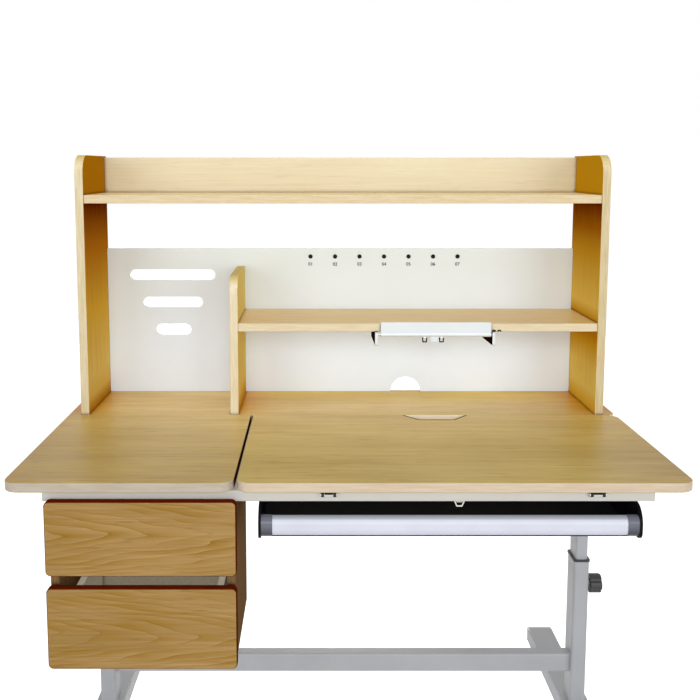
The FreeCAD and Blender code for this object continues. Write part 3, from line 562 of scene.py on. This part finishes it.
@dataclass(frozen=True)
class Worked(Finish):
    """A surface of two near shades with a fine relief and softly broken edges."""

    tone_hex: str
    shade_hex: str
    roughness: float
    roughness_spread: float = 0.04
    shade_from: Span = (0.3, 0.7)
    relief: float = 0.3
    depth_mm: float = 0.03
    edge_mm: float = 0.6
    edge_samples: int = 4
    specular: float = 0.5
    metallic: float = 0.0
    tones: tuple[Tone, ...] = ()

    @abstractmethod
    def noises(self, tree: NodeTree) -> tuple[Node, Node]:
        """The noise that mixes the two shades and the one that makes the relief.

        Args:
            tree: the material's nodes.

        Returns:
            The two noises.
        """

    def shade(self, tree: NodeTree) -> dict[str, Any]:
        """Adds the surface's nodes.

        Args:
            tree: the material's nodes.

        Returns:
            Inputs of the shader by name.
        """
        clouds, skin = self.noises(tree)
        colour = overlaid(tree, clouds, self.shade_from, linear(self.tone_hex), linear(self.shade_hex))
        for tone in self.tones:
            value = part(tree, tone.axis, tone.measure)
            colour = overlaid(tree, value, tone.span, colour, linear(tone.code))
        low, high = self.roughness - self.roughness_spread, self.roughness + self.roughness_spread
        roughness = add_node(
            tree, "MapRange", {VALUE: clouds, **within(self.shade_from), START: low, END: high}
        )
        rounded = add_node(tree, "Bevel", {"Radius": self.edge_mm * MM}, samples=self.edge_samples)
        bump = add_node(
            tree, "Bump",
            {"Strength": self.relief, "Distance": self.depth_mm * MM, "Height": skin, "Normal": rounded},
        )
        return {
            "Base Color": colour, "Roughness": roughness, "Metallic": self.metallic,
            "Specular IOR Level": self.specular, "Normal": bump,
        }


@dataclass(frozen=True)
class Coated(Worked):
    """Sprayed or moulded surface: a fine skin texture and soft cloudiness.

    The eye gets an even colour whose highlights break up slightly, with a lighter line on sharp edges.
    """

    # The skin's grain is about half a millimetre, and it is drawn coarser so that it shows.
    skin_mm: float = 1.6
    cloud_mm: float = 90.0

    def noises(self, tree: NodeTree) -> tuple[Node, Node]:
        """Broad clouds for the two shades, and the skin's grain for the relief."""
        clouds = pattern(tree, (self.cloud_mm,) * 3, detail=3.0)
        return clouds, pattern(tree, (self.skin_mm,) * 3, detail=1.0)


@dataclass(frozen=True)
class Brushed(Worked):
    """Bare or plated metal with fine lines along one axis.

    The eye gets a satin reflection that is drawn out across the lines.
    """

    roughness_spread: float = 0.05
    relief: float = 0.15
    depth_mm: float = 0.02
    edge_mm: float = 0.4
    metallic: float = 1.0
    line: Axis = Axis.X
    # Brush lines are hundredths of a millimetre wide, and they are drawn coarser so that they show.
    line_mm: Span = (60.0, 0.9)

    def noises(self, tree: NodeTree) -> tuple[Node, Node]:
        """The brush lines, which make the shades and the relief alike."""
        lines = pattern(tree, long_sizes(self.line, self.line_mm), detail=2.0)
        return lines, lines


def dress(finish: Finish, *nodes: str) -> None:
    """Gives CAD nodes a finish.

    Args:
        finish: the finish.
        nodes: names of the nodes that wear it.
    """
    material = finish.material()
    for node in nodes:
        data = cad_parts[node].data
        data.materials.clear()
        data.materials.append(material)
        LOG.info("node %s wears %s", node, finish.name)


def add_piece(
    name: str, points: np.ndarray, faces: list[list[int]], body: Body, finish: Finish,
    smooth: bool = True,
) -> None:
    """Makes a new piece that rides on a body.

    Args:
        name: the piece's name.
        points: its vertices in metres, one row each.
        faces: its faces as lists of vertex numbers.
        body: the body that carries it.
        finish: what it wears.
        smooth: whether its faces are shaded as one curved surface.
    """
    mesh = bpy.data.meshes.new(name)
    mesh.from_pydata(points.tolist(), [], faces)
    mesh.polygons.foreach_set("use_smooth", np.full(len(mesh.polygons), smooth))
    mesh.materials.append(finish.material())
    mesh.update()
    piece = bpy.data.objects.new(name, mesh)
    bpy.context.scene.collection.objects.link(piece)
    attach(piece, body.value)
    LOG.info("piece %s rides on %s", name, body.value)


def turned_faces(rings: int, steps: int, copies: int = 1) -> list[list[int]]:
    """Faces of turned surfaces: quads between rings, closed by the first and the last ring.

    Args:
        rings: number of rings.
        steps: points on a ring.
        copies: number of equal surfaces, whose points follow one another.

    Returns:
        The faces.
    """
    start = np.arange(rings - 1)[:, None] * steps
    step = np.arange(steps)[None, :]
    after = (step + 1) % steps
    quads = np.stack(
        [start + step, start + after, start + steps + after, start + steps + step], axis=-1
    ).reshape(-1, 4)
    caps = np.stack([np.arange(steps)[::-1], (rings - 1) * steps + np.arange(steps)])
    shift = np.arange(copies)[:, None, None] * rings * steps
    return (quads + shift).reshape(-1, 4).tolist() + (caps + shift).reshape(-1, steps).tolist()


def placed(points: np.ndarray, places: np.ndarray, outward: tuple[float, float, float]) -> np.ndarray:
    """Vertices of a shape's copies at several places, with its third axis turned outward."""
    turn = np.array(Vector(outward).to_track_quat("Z", "Y").to_matrix())
    return ((points @ turn.T)[None, :, :] + places[:, None, :]).reshape(-1, 3)


@dataclass(frozen=True)
class ScrewHead:
    """A pan head with a cross recess."""

    radius: float = 3.6 * MM
    height: float = 2.0 * MM
    crown_power: int = 6
    recess_half: float = 0.55 * MM
    recess_length: float = 2.0 * MM
    recess_depth: float = 1.1 * MM
    recess_soft: float = 0.25 * MM
    first_ring: float = 0.06
    rings: int = 22
    steps: int = 48

    def surface(self) -> np.ndarray:
        """The head as a surface over radius and angle.

        Its height is the crown, which falls with a high power of the radius, less a cross whose two
        bars have soft walls.

        Returns:
            Vertices, seated at height 0 and pointing up the third axis.
        """
        share = np.sin(np.linspace(self.first_ring, 1.0, self.rings) * math.pi / 2.0)[:, None]
        angle = np.linspace(2.0 * math.pi, 0.0, self.steps, endpoint=False)[None, :]
        flat = self.radius * np.stack([share * np.cos(angle), share * np.sin(angle)])
        bar_x, bar_y = np.clip((self.recess_half - np.abs(flat)) / self.recess_soft, 0.0, 1.0)
        reach_x, reach_y = np.clip((self.recess_length - np.abs(flat)) / self.recess_soft, 0.0, 1.0)
        cross = np.maximum(bar_x * reach_y, bar_y * reach_x)
        z = self.height * (1.0 - share ** self.crown_power) - self.recess_depth * cross
        return np.stack([*flat, z], axis=-1).reshape(-1, 3)


class Assembly(ABC):
    """A sub-assembly of the desk: it dresses its CAD nodes and adds small pieces of its own."""

    @abstractmethod
    def dress(self) -> None:
        """Gives the assembly's CAD nodes their finishes."""

    def build(self) -> None:
        """Adds the assembly's own pieces, if it has any."""


@dataclass
class DeskTop(Assembly):
    """The strip and the tilting board."""

    strip: Finish = DeskBoard(
        "maple_laminate_strip", Axis.X, Axis.Z, "dec380", "b49450", "b5aa9a", "aa9e8c", specular=0.3,
        fibre_share=0.95,
    )
    board: Finish = DeskBoard(
        "maple_laminate_board", Axis.X, Axis.Z, "e0c47e", "b5944e", "cab9a2", "c0ac92", specular=0.3,
        sheen_front_hex="dcddcc", fibre_share=0.95, drift=31.0,
    )
    trim: Finish = Coated("dark_notch_trim", "2a1e0a", "32240e", 0.6, specular=0.0)
    # Painted shade: a dark strip in the seam beside the tilting board stands for the shade in the gap.
    seam_shade: Finish = Coated("dark_seam_shade", "46280a", "3c2208", 0.9, specular=0.0, depth_mm=0.2)
    seam: float = 5.0 * MM
    seam_shade_thickness: float = 0.7 * MM
    seam_shade_power: float = 0.25
    seam_shade_inset: float = 0.8 * MM
    seam_shade_front_margin: float = 26.0 * MM
    seam_shade_rows: int = 60
    seam_shade_steps: int = 32
    notch_half: float = 69.0 * MM
    notch_floor_half: float = 37.5 * MM
    notch_depth: float = 38.0 * MM
    trim_half: float = 1.5 * MM
    trim_height: float = 0.5 * MM
    trim_points: int = 90
    trim_ring: int = 12
    trim_blur: int = 4

    def dress(self) -> None:
        """Dresses the two boards."""
        dress(self.strip, "fixed_top")
        dress(self.board, "tilt_top")

    def build_seam_shade(self) -> None:
        """Lays a dark strip in the seam beside the tilting board, as painted shade for the gap.

        It is a half-oval, carried along the edge of the strip. Its height follows the sine of the
        angle, and its thickness a low power of the cosine, which makes it flat.
        """
        low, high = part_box("tilt_top")
        angle = np.linspace(math.pi / 2.0, -math.pi / 2.0, self.seam_shade_steps)
        x = low.x - self.seam + self.seam_shade_thickness * np.cos(angle) ** self.seam_shade_power
        y = np.linspace(low.y + self.seam_shade_front_margin, high.y, self.seam_shade_rows)[:, None]
        half = (high.z - low.z) / 2.0 - self.seam_shade_inset
        z = (high.z + low.z) / 2.0 + half * np.sin(angle)
        points = np.stack(np.broadcast_arrays(x, y, z), axis=-1).reshape(-1, 3)
        faces = turned_faces(self.seam_shade_rows, self.seam_shade_steps)
        add_piece("seam_shade_strip", points, faces, Body.DESK, self.seam_shade, smooth=False)

    def build_trim(self) -> None:
        """Lays a thin dark trim along the edge of the cable notch.

        The trim is a low half-oval, carried along the notch's three sides. Its path is the outline of
        the notch at even lengths, blurred a little so that it turns the corners softly.
        """
        low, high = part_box("tilt_top")
        middle = (low.x + high.x) / 2.0
        back = high.y - self.trim_half
        front = high.y - self.notch_depth - self.trim_half
        corners = np.array([
            (middle - self.notch_half, back), (middle - self.notch_floor_half, front),
            (middle + self.notch_floor_half, front), (middle + self.notch_half, back),
        ])
        lengths = np.concatenate([[0.0], np.cumsum(np.linalg.norm(np.diff(corners, axis=0), axis=1))])
        run = np.linspace(0.0, lengths[-1], self.trim_points)
        path = np.stack([np.interp(run, lengths, corners[:, axis]) for axis in (0, 1)], axis=-1)
        window = np.hanning(2 * self.trim_blur + 1)
        window /= window.sum()
        path[self.trim_blur:-self.trim_blur] = np.stack(
            [np.convolve(path[:, axis], window, "valid") for axis in (0, 1)], axis=-1
        )
        heading = np.gradient(path, axis=0)
        heading /= np.linalg.norm(heading, axis=1)[:, None]
        side = np.stack([-heading[:, 1], heading[:, 0]], axis=-1)
        angle = np.linspace(0.0, math.pi, self.trim_ring)
        across = self.trim_half * np.cos(angle)
        flat = path[:, None, :] + across[None, :, None] * side[:, None, :]
        height = np.broadcast_to(high.z + self.trim_height * np.sin(angle), flat.shape[:2])
        points = np.concatenate([flat, height[:, :, None]], axis=-1).reshape(-1, 3)
        faces = turned_faces(self.trim_points, self.trim_ring)
        add_piece("notch_trim", points, faces, Body.TILT_BOARD, self.trim)

    def build(self) -> None:
        """Builds the dark seam strip and the trim."""
        self.build_seam_shade()
        self.build_trim()


@dataclass
class Hutch(Assembly):
    """The shelves and uprights on the desk, the back panel and its pegs."""

    shelf: Finish = PrintedBoard(
        "maple_laminate_shelf", Axis.X, Axis.Z, "cdb785", "b6985e", "cfbe9a", "c4ae86", drift=53.0
    )
    middle: Finish = PrintedBoard(
        "maple_laminate_middle", Axis.X, Axis.Z, "c9af77", "b4924f", "d8cbad", "cebd9a", drift=59.0
    )
    upstand: Finish = PrintedBoard(
        "maple_laminate_upstand", Axis.X, Axis.Y, "d4cbae", "c8b792", "d4cbae", "c8b792", drift=17.0,
        fleck_share=0.18,
    )
    left: Finish = Upright(
        "maple_laminate_left", Axis.Z, Axis.X, "d4b47a", "b59255", "d6caab", "cabb94", drift=3.0,
        specular=0.0,
        shade_stops=(
            (0.65, "b9841f"), (0.675, "d9b65a"), (0.72, "dfc16b"), (0.86, "d6aa3c"), (0.99, "b27016"),
            (1.098, "520600"), (1.112, "aa710e"),
        ),
    )
    right: Finish = Upright(
        "maple_laminate_right", Axis.Z, Axis.X, "d4b47a", "b59255", "cfc19d", "c2b088", drift=11.0,
        specular=0.0, inner_from=(-0.4, -0.6), inner_fibre_hex="a87800",
        shade_stops=(
            (0.65, "dfb136"), (0.685, "eacd6c"), (0.735, "e6c463"), (0.785, "d09d24"), (0.812, "be7b0d"),
            (0.845, "c8901c"), (0.875, "e3c05a"), (0.99, "c49022"), (1.045, "95570a"), (1.098, "600e00"),
            (1.112, "c08c16"),
        ),
    )
    divider: Finish = Upright(
        "maple_laminate_divider", Axis.Z, Axis.X, "d4b47a", "b59255", "e1d6bc", "d4c6a4", drift=23.0,
        specular=0.0, inner_fibre_hex="c8a048",
        shade_stops=((0.65, "c8922a"), (0.68, "e2bf60"), (0.7, "e6c86c"), (0.95, "e2ce7c")),
    )
    # White foil: a front painted cool to offset the warm light bounced onto it, painted shade that greys it
    # slightly towards the top, and a warm grey backing sheet.
    panel: Finish = Coated(
        "white_foil_panel", "e5f0fd", "e1ecf9", 0.5, skin_mm=2.4, depth_mm=0.02, edge_mm=0.3, specular=0.3,
        tones=(
            Tone("d4dbdb", Axis.Z, (740.0 * MM, 950.0 * MM)),
            Tone("d6d3cb", Axis.Y, (0.4, 0.6), Measure.NORMAL),
        ),
    )
    peg: Finish = Coated("black_moulded_peg", "060607", "0c0c0d", 0.5, specular=0.12)
    ink: Finish = Coated("dark_print_ink", "020203", "060607", 0.8, specular=0.0)
    screw: Finish = Brushed("zinc_plated_screw", "c9cacb", "a9abad", 0.3)
    plug: Finish = Coated("tan_cover_plug", "cdb080", "c4a676", 0.5)
    dowel: Finish = PrintedBoard("beech_dowel", Axis.X, Axis.Z, "d8b98c", "c09c6a", "d8b98c", "c09c6a")
    head: ScrewHead = ScrewHead()
    number_count: int = 7
    number_height: float = 7.6 * MM
    # Height of a digit as a share of the type's size.
    number_share: float = 0.7
    number_swell: float = 0.23 * MM
    number_drop: float = 18.0 * MM
    number_thickness: float = 0.06 * MM
    divider_heights: tuple[float, ...] = (680.0 * MM, 790.0 * MM, 900.0 * MM)
    shelf_places: tuple[float, ...] = (-80.0 * MM, 165.0 * MM, 410.0 * MM)
    staple_places: tuple[float, ...] = (330.0 * MM, 341.5 * MM)
    staple_radius: float = 3.2 * MM
    staple_wire: float = 1.5 * MM
    plug_radius: float = 6.0 * MM
    plug_height: float = 0.5 * MM
    plug_power: int = 8
    plug_first_ring: float = 0.05
    plug_insets: tuple[float, ...] = (50.0 * MM, 180.0 * MM)
    ring_steps: int = 40
    wire_steps: int = 12

    def dress(self) -> None:
        """Dresses the boards, the panel and the pegs."""
        dress(self.shelf, "hutch_top_shelf")
        dress(self.middle, "hutch_mid_shelf")
        dress(self.upstand, "hutch_upstand")
        dress(self.left, "hutch_side_left")
        dress(self.right, "hutch_side_right")
        dress(self.divider, "hutch_divider")
        dress(self.panel, "hutch_back_panel")
        dress(self.peg, "note_pegs")
        dress(self.dowel, "shelf_dowels")

    def digits(self, number: int) -> tuple[np.ndarray, list[list[int]]]:
        """A figure of two digits as a thin slab, lying in its own first two axes.

        Args:
            number: the figure.

        Returns:
            Vertices and faces.
        """
        curve = bpy.data.curves.new("figure", "FONT")
        curve.body = f"{number:02d}"
        curve.size = self.number_height / self.number_share
        curve.align_x = "CENTER"
        curve.bevel_depth = self.number_swell
        curve.bevel_resolution = 0
        holder = bpy.data.objects.new("figure", curve)
        mesh = bpy.data.meshes.new_from_object(holder)
        points = np.zeros(len(mesh.vertices) * 3)
        mesh.vertices.foreach_get("co", points)
        faces = [list(polygon.vertices) for polygon in mesh.polygons]
        bpy.data.meshes.remove(mesh)
        bpy.data.objects.remove(holder)
        bpy.data.curves.remove(curve)
        flat = np.array([1.0, 1.0, self.number_thickness / (2.0 * self.number_swell)])
        return points.reshape(-1, 3) * flat, faces

    def build_numbers(self) -> None:
        """Prints one figure under each peg."""
        low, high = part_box("note_pegs")
        panel_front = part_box("hutch_back_panel")[0].y
        radius = (high.z - low.z) / 2.0
        middles = np.linspace(low.x + radius, high.x - radius, self.number_count)
        base = (low.z + high.z) / 2.0 - self.number_drop - self.number_height / 2.0
        for number, middle in enumerate(middles, start=1):
            points, faces = self.digits(number)
            standing = np.stack(
                [points[:, 0] + middle, panel_front - points[:, 2], points[:, 1] + base], axis=-1
            )
            add_piece(f"peg_number_{number}", standing, faces, Body.DESK, self.ink, smooth=False)

    def build_screws(self) -> None:
        """Drives screws from behind through the panel into the divider and the shelf."""
        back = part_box("hutch_back_panel")[1].y
        divider_low, divider_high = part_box("hutch_divider")
        shelf_low, shelf_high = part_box("hutch_mid_shelf")
        upright = [((divider_low.x + divider_high.x) / 2.0, back, z) for z in self.divider_heights]
        level = [(x, back, (shelf_low.z + shelf_high.z) / 2.0) for x in self.shelf_places]
        places = np.array(upright + level)
        points = placed(self.head.surface(), places, (0.0, 1.0, 0.0))
        faces = turned_faces(self.head.rings, self.head.steps, len(places))
        add_piece("panel_screws", points, faces, Body.DESK, self.screw)

    def build_staples(self) -> None:
        """Sets two wire staples on the front edge of the middle shelf, beside the book rest.

        A staple is half a ring: a circle of wire carried round half a turn.
        """
        low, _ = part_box("hutch_mid_shelf")
        turn = np.linspace(0.0, math.pi, self.ring_steps)[:, None]
        wire = np.linspace(0.0, 2.0 * math.pi, self.wire_steps, endpoint=False)[None, :]
        reach = self.staple_radius + self.staple_wire * np.cos(wire)
        ring = np.stack(
            np.broadcast_arrays(reach * np.cos(turn), self.staple_wire * np.sin(wire), reach * np.sin(turn)),
            axis=-1,
        ).reshape(-1, 3)
        faces = turned_faces(self.ring_steps, self.wire_steps)
        for number, x in enumerate(self.staple_places, start=1):
            points = ring + np.array([x, low.y, low.z])
            add_piece(f"shelf_staple_{number}", points, faces, Body.DESK, self.peg)

    def build_plugs(self) -> None:
        """Covers the screws in the uprights' outer faces with round plugs.

        A plug is a disc whose height falls with a high power of the radius.
        """
        share = np.linspace(self.plug_first_ring, 1.0, self.wire_steps)[:, None]
        angle = np.linspace(2.0 * math.pi, 0.0, self.ring_steps, endpoint=False)[None, :]
        x, y = self.plug_radius * share * np.cos(angle), self.plug_radius * share * np.sin(angle)
        rise = self.plug_height * (1.0 - share ** self.plug_power)
        disc = np.stack(np.broadcast_arrays(x, y, rise), axis=-1).reshape(-1, 3)
        faces = turned_faces(self.wire_steps, self.ring_steps, len(self.plug_insets))
        shelf_low, shelf_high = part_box("hutch_top_shelf")
        z = (shelf_low.z + shelf_high.z) / 2.0
        for side, upright in ((-1.0, "hutch_side_left"), (1.0, "hutch_side_right")):
            low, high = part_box(upright)
            outer = low.x if side < 0.0 else high.x
            places = np.array([(outer, low.y + inset, z) for inset in self.plug_insets])
            points = placed(disc, places, (side, 0.0, 0.0))
            add_piece(f"{upright}_plugs", points, faces, Body.DESK, self.plug)

    def build(self) -> None:
        """Builds the figures, the screws, the staples and the plugs."""
        self.build_numbers()
        self.build_screws()
        self.build_staples()
        self.build_plugs()


@dataclass
class BookRest(Assembly):
    """The folding book rest under the middle shelf."""

    plate: Finish = Coated("white_powder_coat", "d9e0e5", "d2dadf", 0.4)
    # Powder coat on sheet: dark flanks, and white on the faces that look forward.
    cheek: Finish = Coated(
        "cheek_powder_coat", "1c1008", "24160b", 0.6, specular=0.0,
        tones=(Tone("dde2e6", Axis.Y, (-0.5, -0.8), Measure.NORMAL),),
    )
    clip: Finish = Coated("black_clip_coat", "020202", "060606", 0.6, specular=0.0)
    pin: Finish = Brushed("bright_pin", "c9cacb", "a9abad", 0.28)

    def dress(self) -> None:
        """Dresses the plate, its cheeks, its clips and its pin."""
        dress(self.plate, "book_rest_plate")
        dress(self.cheek, "book_rest_cheeks")
        dress(self.clip, "page_clip_left", "page_clip_right")
        dress(self.pin, "book_rest_pin")


@dataclass
class SteelFrame(Assembly):
    """The welded frame, the columns, the feet and what joins them."""

    coat: Finish = Coated("pale_grey_powder_coat", "bdbbb5", "b7b5af", 0.45, skin_mm=2.0)
    # Painted shade: the legs, feet and stretcher take a darker grey than the frame, for the shade under the
    # desk.
    leg: Finish = Coated("leg_shade_grey_coat", "a0a2a6", "9a9ca0", 0.45, skin_mm=2.0)
    cap: Finish = Coated("grey_end_plug", "c9c8c4", "bfbebb", 0.5)
    black: Finish = Coated("black_moulded_plastic", "18181a", "212124", 0.45)
    rubber: Finish = Coated("grey_rubber", "3b3b3d", "333335", 0.8, specular=0.25, depth_mm=0.06)
    screw: Finish = Brushed("zinc_plated_bolt", "bfc0c2", "9d9fa2", 0.35)

    def dress(self) -> None:
        """Dresses the tubes, plugs, bushes, pads and bolts."""
        dress(self.coat, "front_rail", "rear_rail", "left_beam", "centre_beam", "right_beam")
        dress(self.leg, "inner_columns", "outer_columns", "feet", "stretcher")
        dress(self.cap, "rail_caps", "foot_caps")
        dress(
            self.black, "clamp_knob_left", "clamp_knob_right", "column_bushes", "column_plugs",
            "board_spacers",
        )
        dress(self.rubber, "rubber_pads", "foot_pads")
        dress(self.screw, "desk_screws")


@dataclass
class Tilt(Assembly):
    """Hinges, prop and racks of the tilting board."""

    black: Finish = Coated("black_powder_coat", "0e0e10", "151517", 0.45, specular=0.3)
    # Powder coat: a pale leaf with a sharp black upper edge.
    leaf: Finish = Coated(
        "pale_hinge_leaf_coat", "c9c7c2", "bfbdb8", 0.45, specular=0.2,
        tones=(Tone("0c0c0d", Axis.Z, (613.8 * MM, 614.0 * MM)),),
    )
    bright: Finish = Brushed("zinc_plated_rod", "c4c5c7", "a4a6a9", 0.3)

    def dress(self) -> None:
        """Dresses the hinges, the prop and the racks."""
        dress(self.black, "hinge_bases", "prop_arms", "prop_brackets", "racks")
        dress(self.leaf, "hinge_leaves")
        dress(self.bright, "hinge_pins", "prop_rod")


@dataclass
class PenDrawer(Assembly):
    """The shallow drawer under the tilting board."""

    # Silver lacquer: a flat, near-white front, under a ledge greyed with painted shade.
    bar: Finish = Coated(
        "silver_lacquered_bar", "c4c6d2", "bec0cc", 0.62, metallic=0.3,
        tones=(Tone("a2a8b2", Axis.Z, (566.4 * MM, 567.0 * MM)),),
    )
    # Moulded plastic: a soft highlight from its gloss, over painted shade that darkens it towards the
    # bottom.
    cap: Finish = Coated(
        "blue_grey_plastic", "17171a", "141417", 0.22, specular=0.35,
        tones=(Tone("60626e", Axis.Z, (538.0 * MM, 556.0 * MM)),),
    )
    tray: Finish = Coated("black_grained_tray", "08090c", "0c0d11", 0.5, specular=0.06)
    wire: Finish = Coated("cream_wire_coat", "d9d6cd", "cfccc3", 0.35)
    rail: Finish = Coated("black_rail_coat", "0c0c0e", "121214", 0.5, specular=0.25)

    def dress(self) -> None:
        """Dresses the tray, its bar, its caps, its rails and the pull loop."""
        dress(self.bar, "pen_drawer_bar")
        dress(self.cap, "pen_drawer_caps")
        dress(self.tray, "pen_tray")
        dress(self.wire, "pull_loop")
        dress(self.rail, "pen_rails")


@dataclass
class Cabinet(Assembly):
    """The drawer cabinet on the left."""

    upper: Finish = CathedralFront(
        "maple_front_upper", Axis.X, Axis.Y, "af8f5e", "7e5f2a", "5c1c06", "4c1404", drift=41.0
    )
    lower: Finish = CathedralFront(
        "maple_front_lower", Axis.X, Axis.Y, "af8f5e", "7e5f2a", "5c1c06", "4c1404", drift=67.0,
        centre_mm=(-230.0, 362.0),
    )
    carcass: Finish = PrintedBoard(
        "dark_carcass_laminate", Axis.Z, Axis.X, "7f6342", "6b5135", "7f6342", "6b5135", roughness=0.6,
        specular=0.0,
    )
    box: Finish = PrintedBoard(
        "pale_drawer_board", Axis.Y, Axis.X, "dcd6c8", "cfc8b8", "d8d2c4", "ccc4b4", roughness=0.5
    )
    runner: Finish = Brushed("zinc_plated_runner", "c9cacb", "a9abad", 0.35, line=Axis.Y)

    def dress(self) -> None:
        """Dresses the fronts, the carcass, the boxes and the runners."""
        dress(self.upper, "upper_drawer_front")
        dress(self.lower, "lower_drawer_front")
        dress(self.carcass, "cabinet_sides", "cabinet_top", "cabinet_bottom", "cabinet_back")
        dress(
            self.box, "upper_drawer_walls", "upper_drawer_base", "lower_drawer_walls", "lower_drawer_base"
        )
        dress(self.runner, "cabinet_runners", "upper_drawer_runners", "lower_drawer_runners")


@dataclass(frozen=True)
class Lamp:
    """A soft square lamp aimed at the desk."""

    name: str
    place: tuple[float, float, float]
    side: float
    power: float
    aim: tuple[float, float, float] = (0.0, 0.2, 0.85)
    shadow: bool = True

    def build(self) -> None:
        """Adds the lamp."""
        data = bpy.data.lights.new(self.name, "AREA")
        data.size = self.side
        data.energy = self.power
        data.use_shadow = self.shadow
        lamp = bpy.data.objects.new(self.name, data)
        lamp.location = self.place
        lamp.rotation_euler = (Vector(self.aim) - Vector(self.place)).to_track_quat("-Z", "Y").to_euler()
        bpy.context.scene.collection.objects.link(lamp)
        LOG.info("lamp %s", self.name)


@dataclass
class Studio:
    """Floor, surrounding light, lamps and camera."""

    floor_half: float = 60.0
    floor_hex: str = "f4f4f4"
    floor_glow: float = 0.86
    world_hex: str = "ffffff"
    ambient: float = 0.28
    lamps: tuple[Lamp, ...] = (
        Lamp("left_lamp", (-3.4, -5.2, 1.6), 3.0, 100.0),
        Lamp("right_lamp", (3.4, -5.2, 1.6), 3.0, 108.0),
        Lamp("front_lamp", (0.0, -6.0, 1.9), 2.5, 90.0),
        Lamp("rear_lamp", (0.0, 5.6, 0.3), 1.0, 160.0),
        Lamp("top_lamp", (0.0, -0.2, 2.6), 1.6, 24.0, shadow=False),
    )
    eye: tuple[float, float, float] = (-0.055, -1.956, 1.178)
    # Degrees that the camera looks down.
    pitch: float = 6.87
    lens: float = 49.63
    sensor: float = 36.0
    shift: tuple[float, float] = (0.0471, -0.0943)

    def seen(self, tree: NodeTree) -> Node:
        """1 for the camera's own rays and for mirrored and refracted ones.

        Args:
            tree: the nodes of the floor or of the world.

        Returns:
            The share.
        """
        path = add_node(tree, "LightPath").outputs
        direct = {0: path["Is Camera Ray"], 1: path["Is Glossy Ray"]}
        both = add_node(tree, "Math", direct, operation="MAXIMUM")
        return add_node(tree, "Math", {0: both, 1: path["Is Transmission Ray"]}, operation="MAXIMUM")

    def build_floor(self) -> None:
        """Lays a pale floor that shows white to the camera and keeps the shadow."""
        half = self.floor_half
        corners = [(-half, -half, 0.0), (half, -half, 0.0), (half, half, 0.0), (-half, half, 0.0)]
        mesh = bpy.data.meshes.new("floor")
        mesh.from_pydata(corners, [], [[0, 1, 2, 3]])
        material = bpy.data.materials.new("studio_floor")
        material.use_nodes = True
        tree = material.node_tree
        tree.nodes.clear()
        glow = add_node(tree, "MapRange", {VALUE: self.seen(tree), END: self.floor_glow})
        shader = add_node(
            tree, "BsdfPrincipled",
            {
                "Base Color": linear(self.floor_hex), "Roughness": 1.0, "Specular IOR Level": 0.0,
                "Emission Color": linear(self.floor_hex), "Emission Strength": glow,
            },
        )
        add_node(tree, "OutputMaterial", {"Surface": shader})
        mesh.materials.append(material)
        floor = bpy.data.objects.new("floor", mesh)
        bpy.context.scene.collection.objects.link(floor)
        LOG.info("floor laid")

    def build_world(self) -> None:
        """Surrounds the desk with even light that looks white to the camera and in reflections."""
        world = bpy.data.worlds.new("studio")
        world.use_nodes = True
        tree = world.node_tree
        tree.nodes.clear()
        strength = add_node(tree, "MapRange", {VALUE: self.seen(tree), START: self.ambient})
        light = add_node(tree, "Background", {"Color": linear(self.world_hex), "Strength": strength})
        add_node(tree, "OutputWorld", {"Surface": light})
        bpy.context.scene.world = world

    def build_camera(self) -> None:
        """Sets the camera where the photograph was taken from."""
        data = bpy.data.cameras.new("camera")
        data.sensor_fit = "HORIZONTAL"
        data.sensor_width = self.sensor
        data.lens = self.lens
        data.shift_x, data.shift_y = self.shift
        data.clip_end = 2.0 * self.floor_half
        camera = bpy.data.objects.new("camera", data)
        camera.location = self.eye
        camera.rotation_euler = (math.radians(90.0 - self.pitch), 0.0, 0.0)
        bpy.context.scene.collection.objects.link(camera)
        bpy.context.scene.camera = camera

    def build(self) -> None:
        """Builds the floor, the light and the camera."""
        self.build_floor()
        self.build_world()
        for lamp in self.lamps:
            lamp.build()
        self.build_camera()
        bpy.context.scene.view_settings.view_transform = "Standard"


def main() -> None:
    """Dresses and completes the desk, then sets up the studio."""
    logging.basicConfig(level=logging.INFO, format="%(name)s: %(message)s")
    assemblies = (DeskTop(), Hutch(), BookRest(), SteelFrame(), Tilt(), PenDrawer(), Cabinet())
    for assembly in assemblies:
        assembly.dress()
        assembly.build()
    Studio().build()


if __name__ == "__main__":
    main()
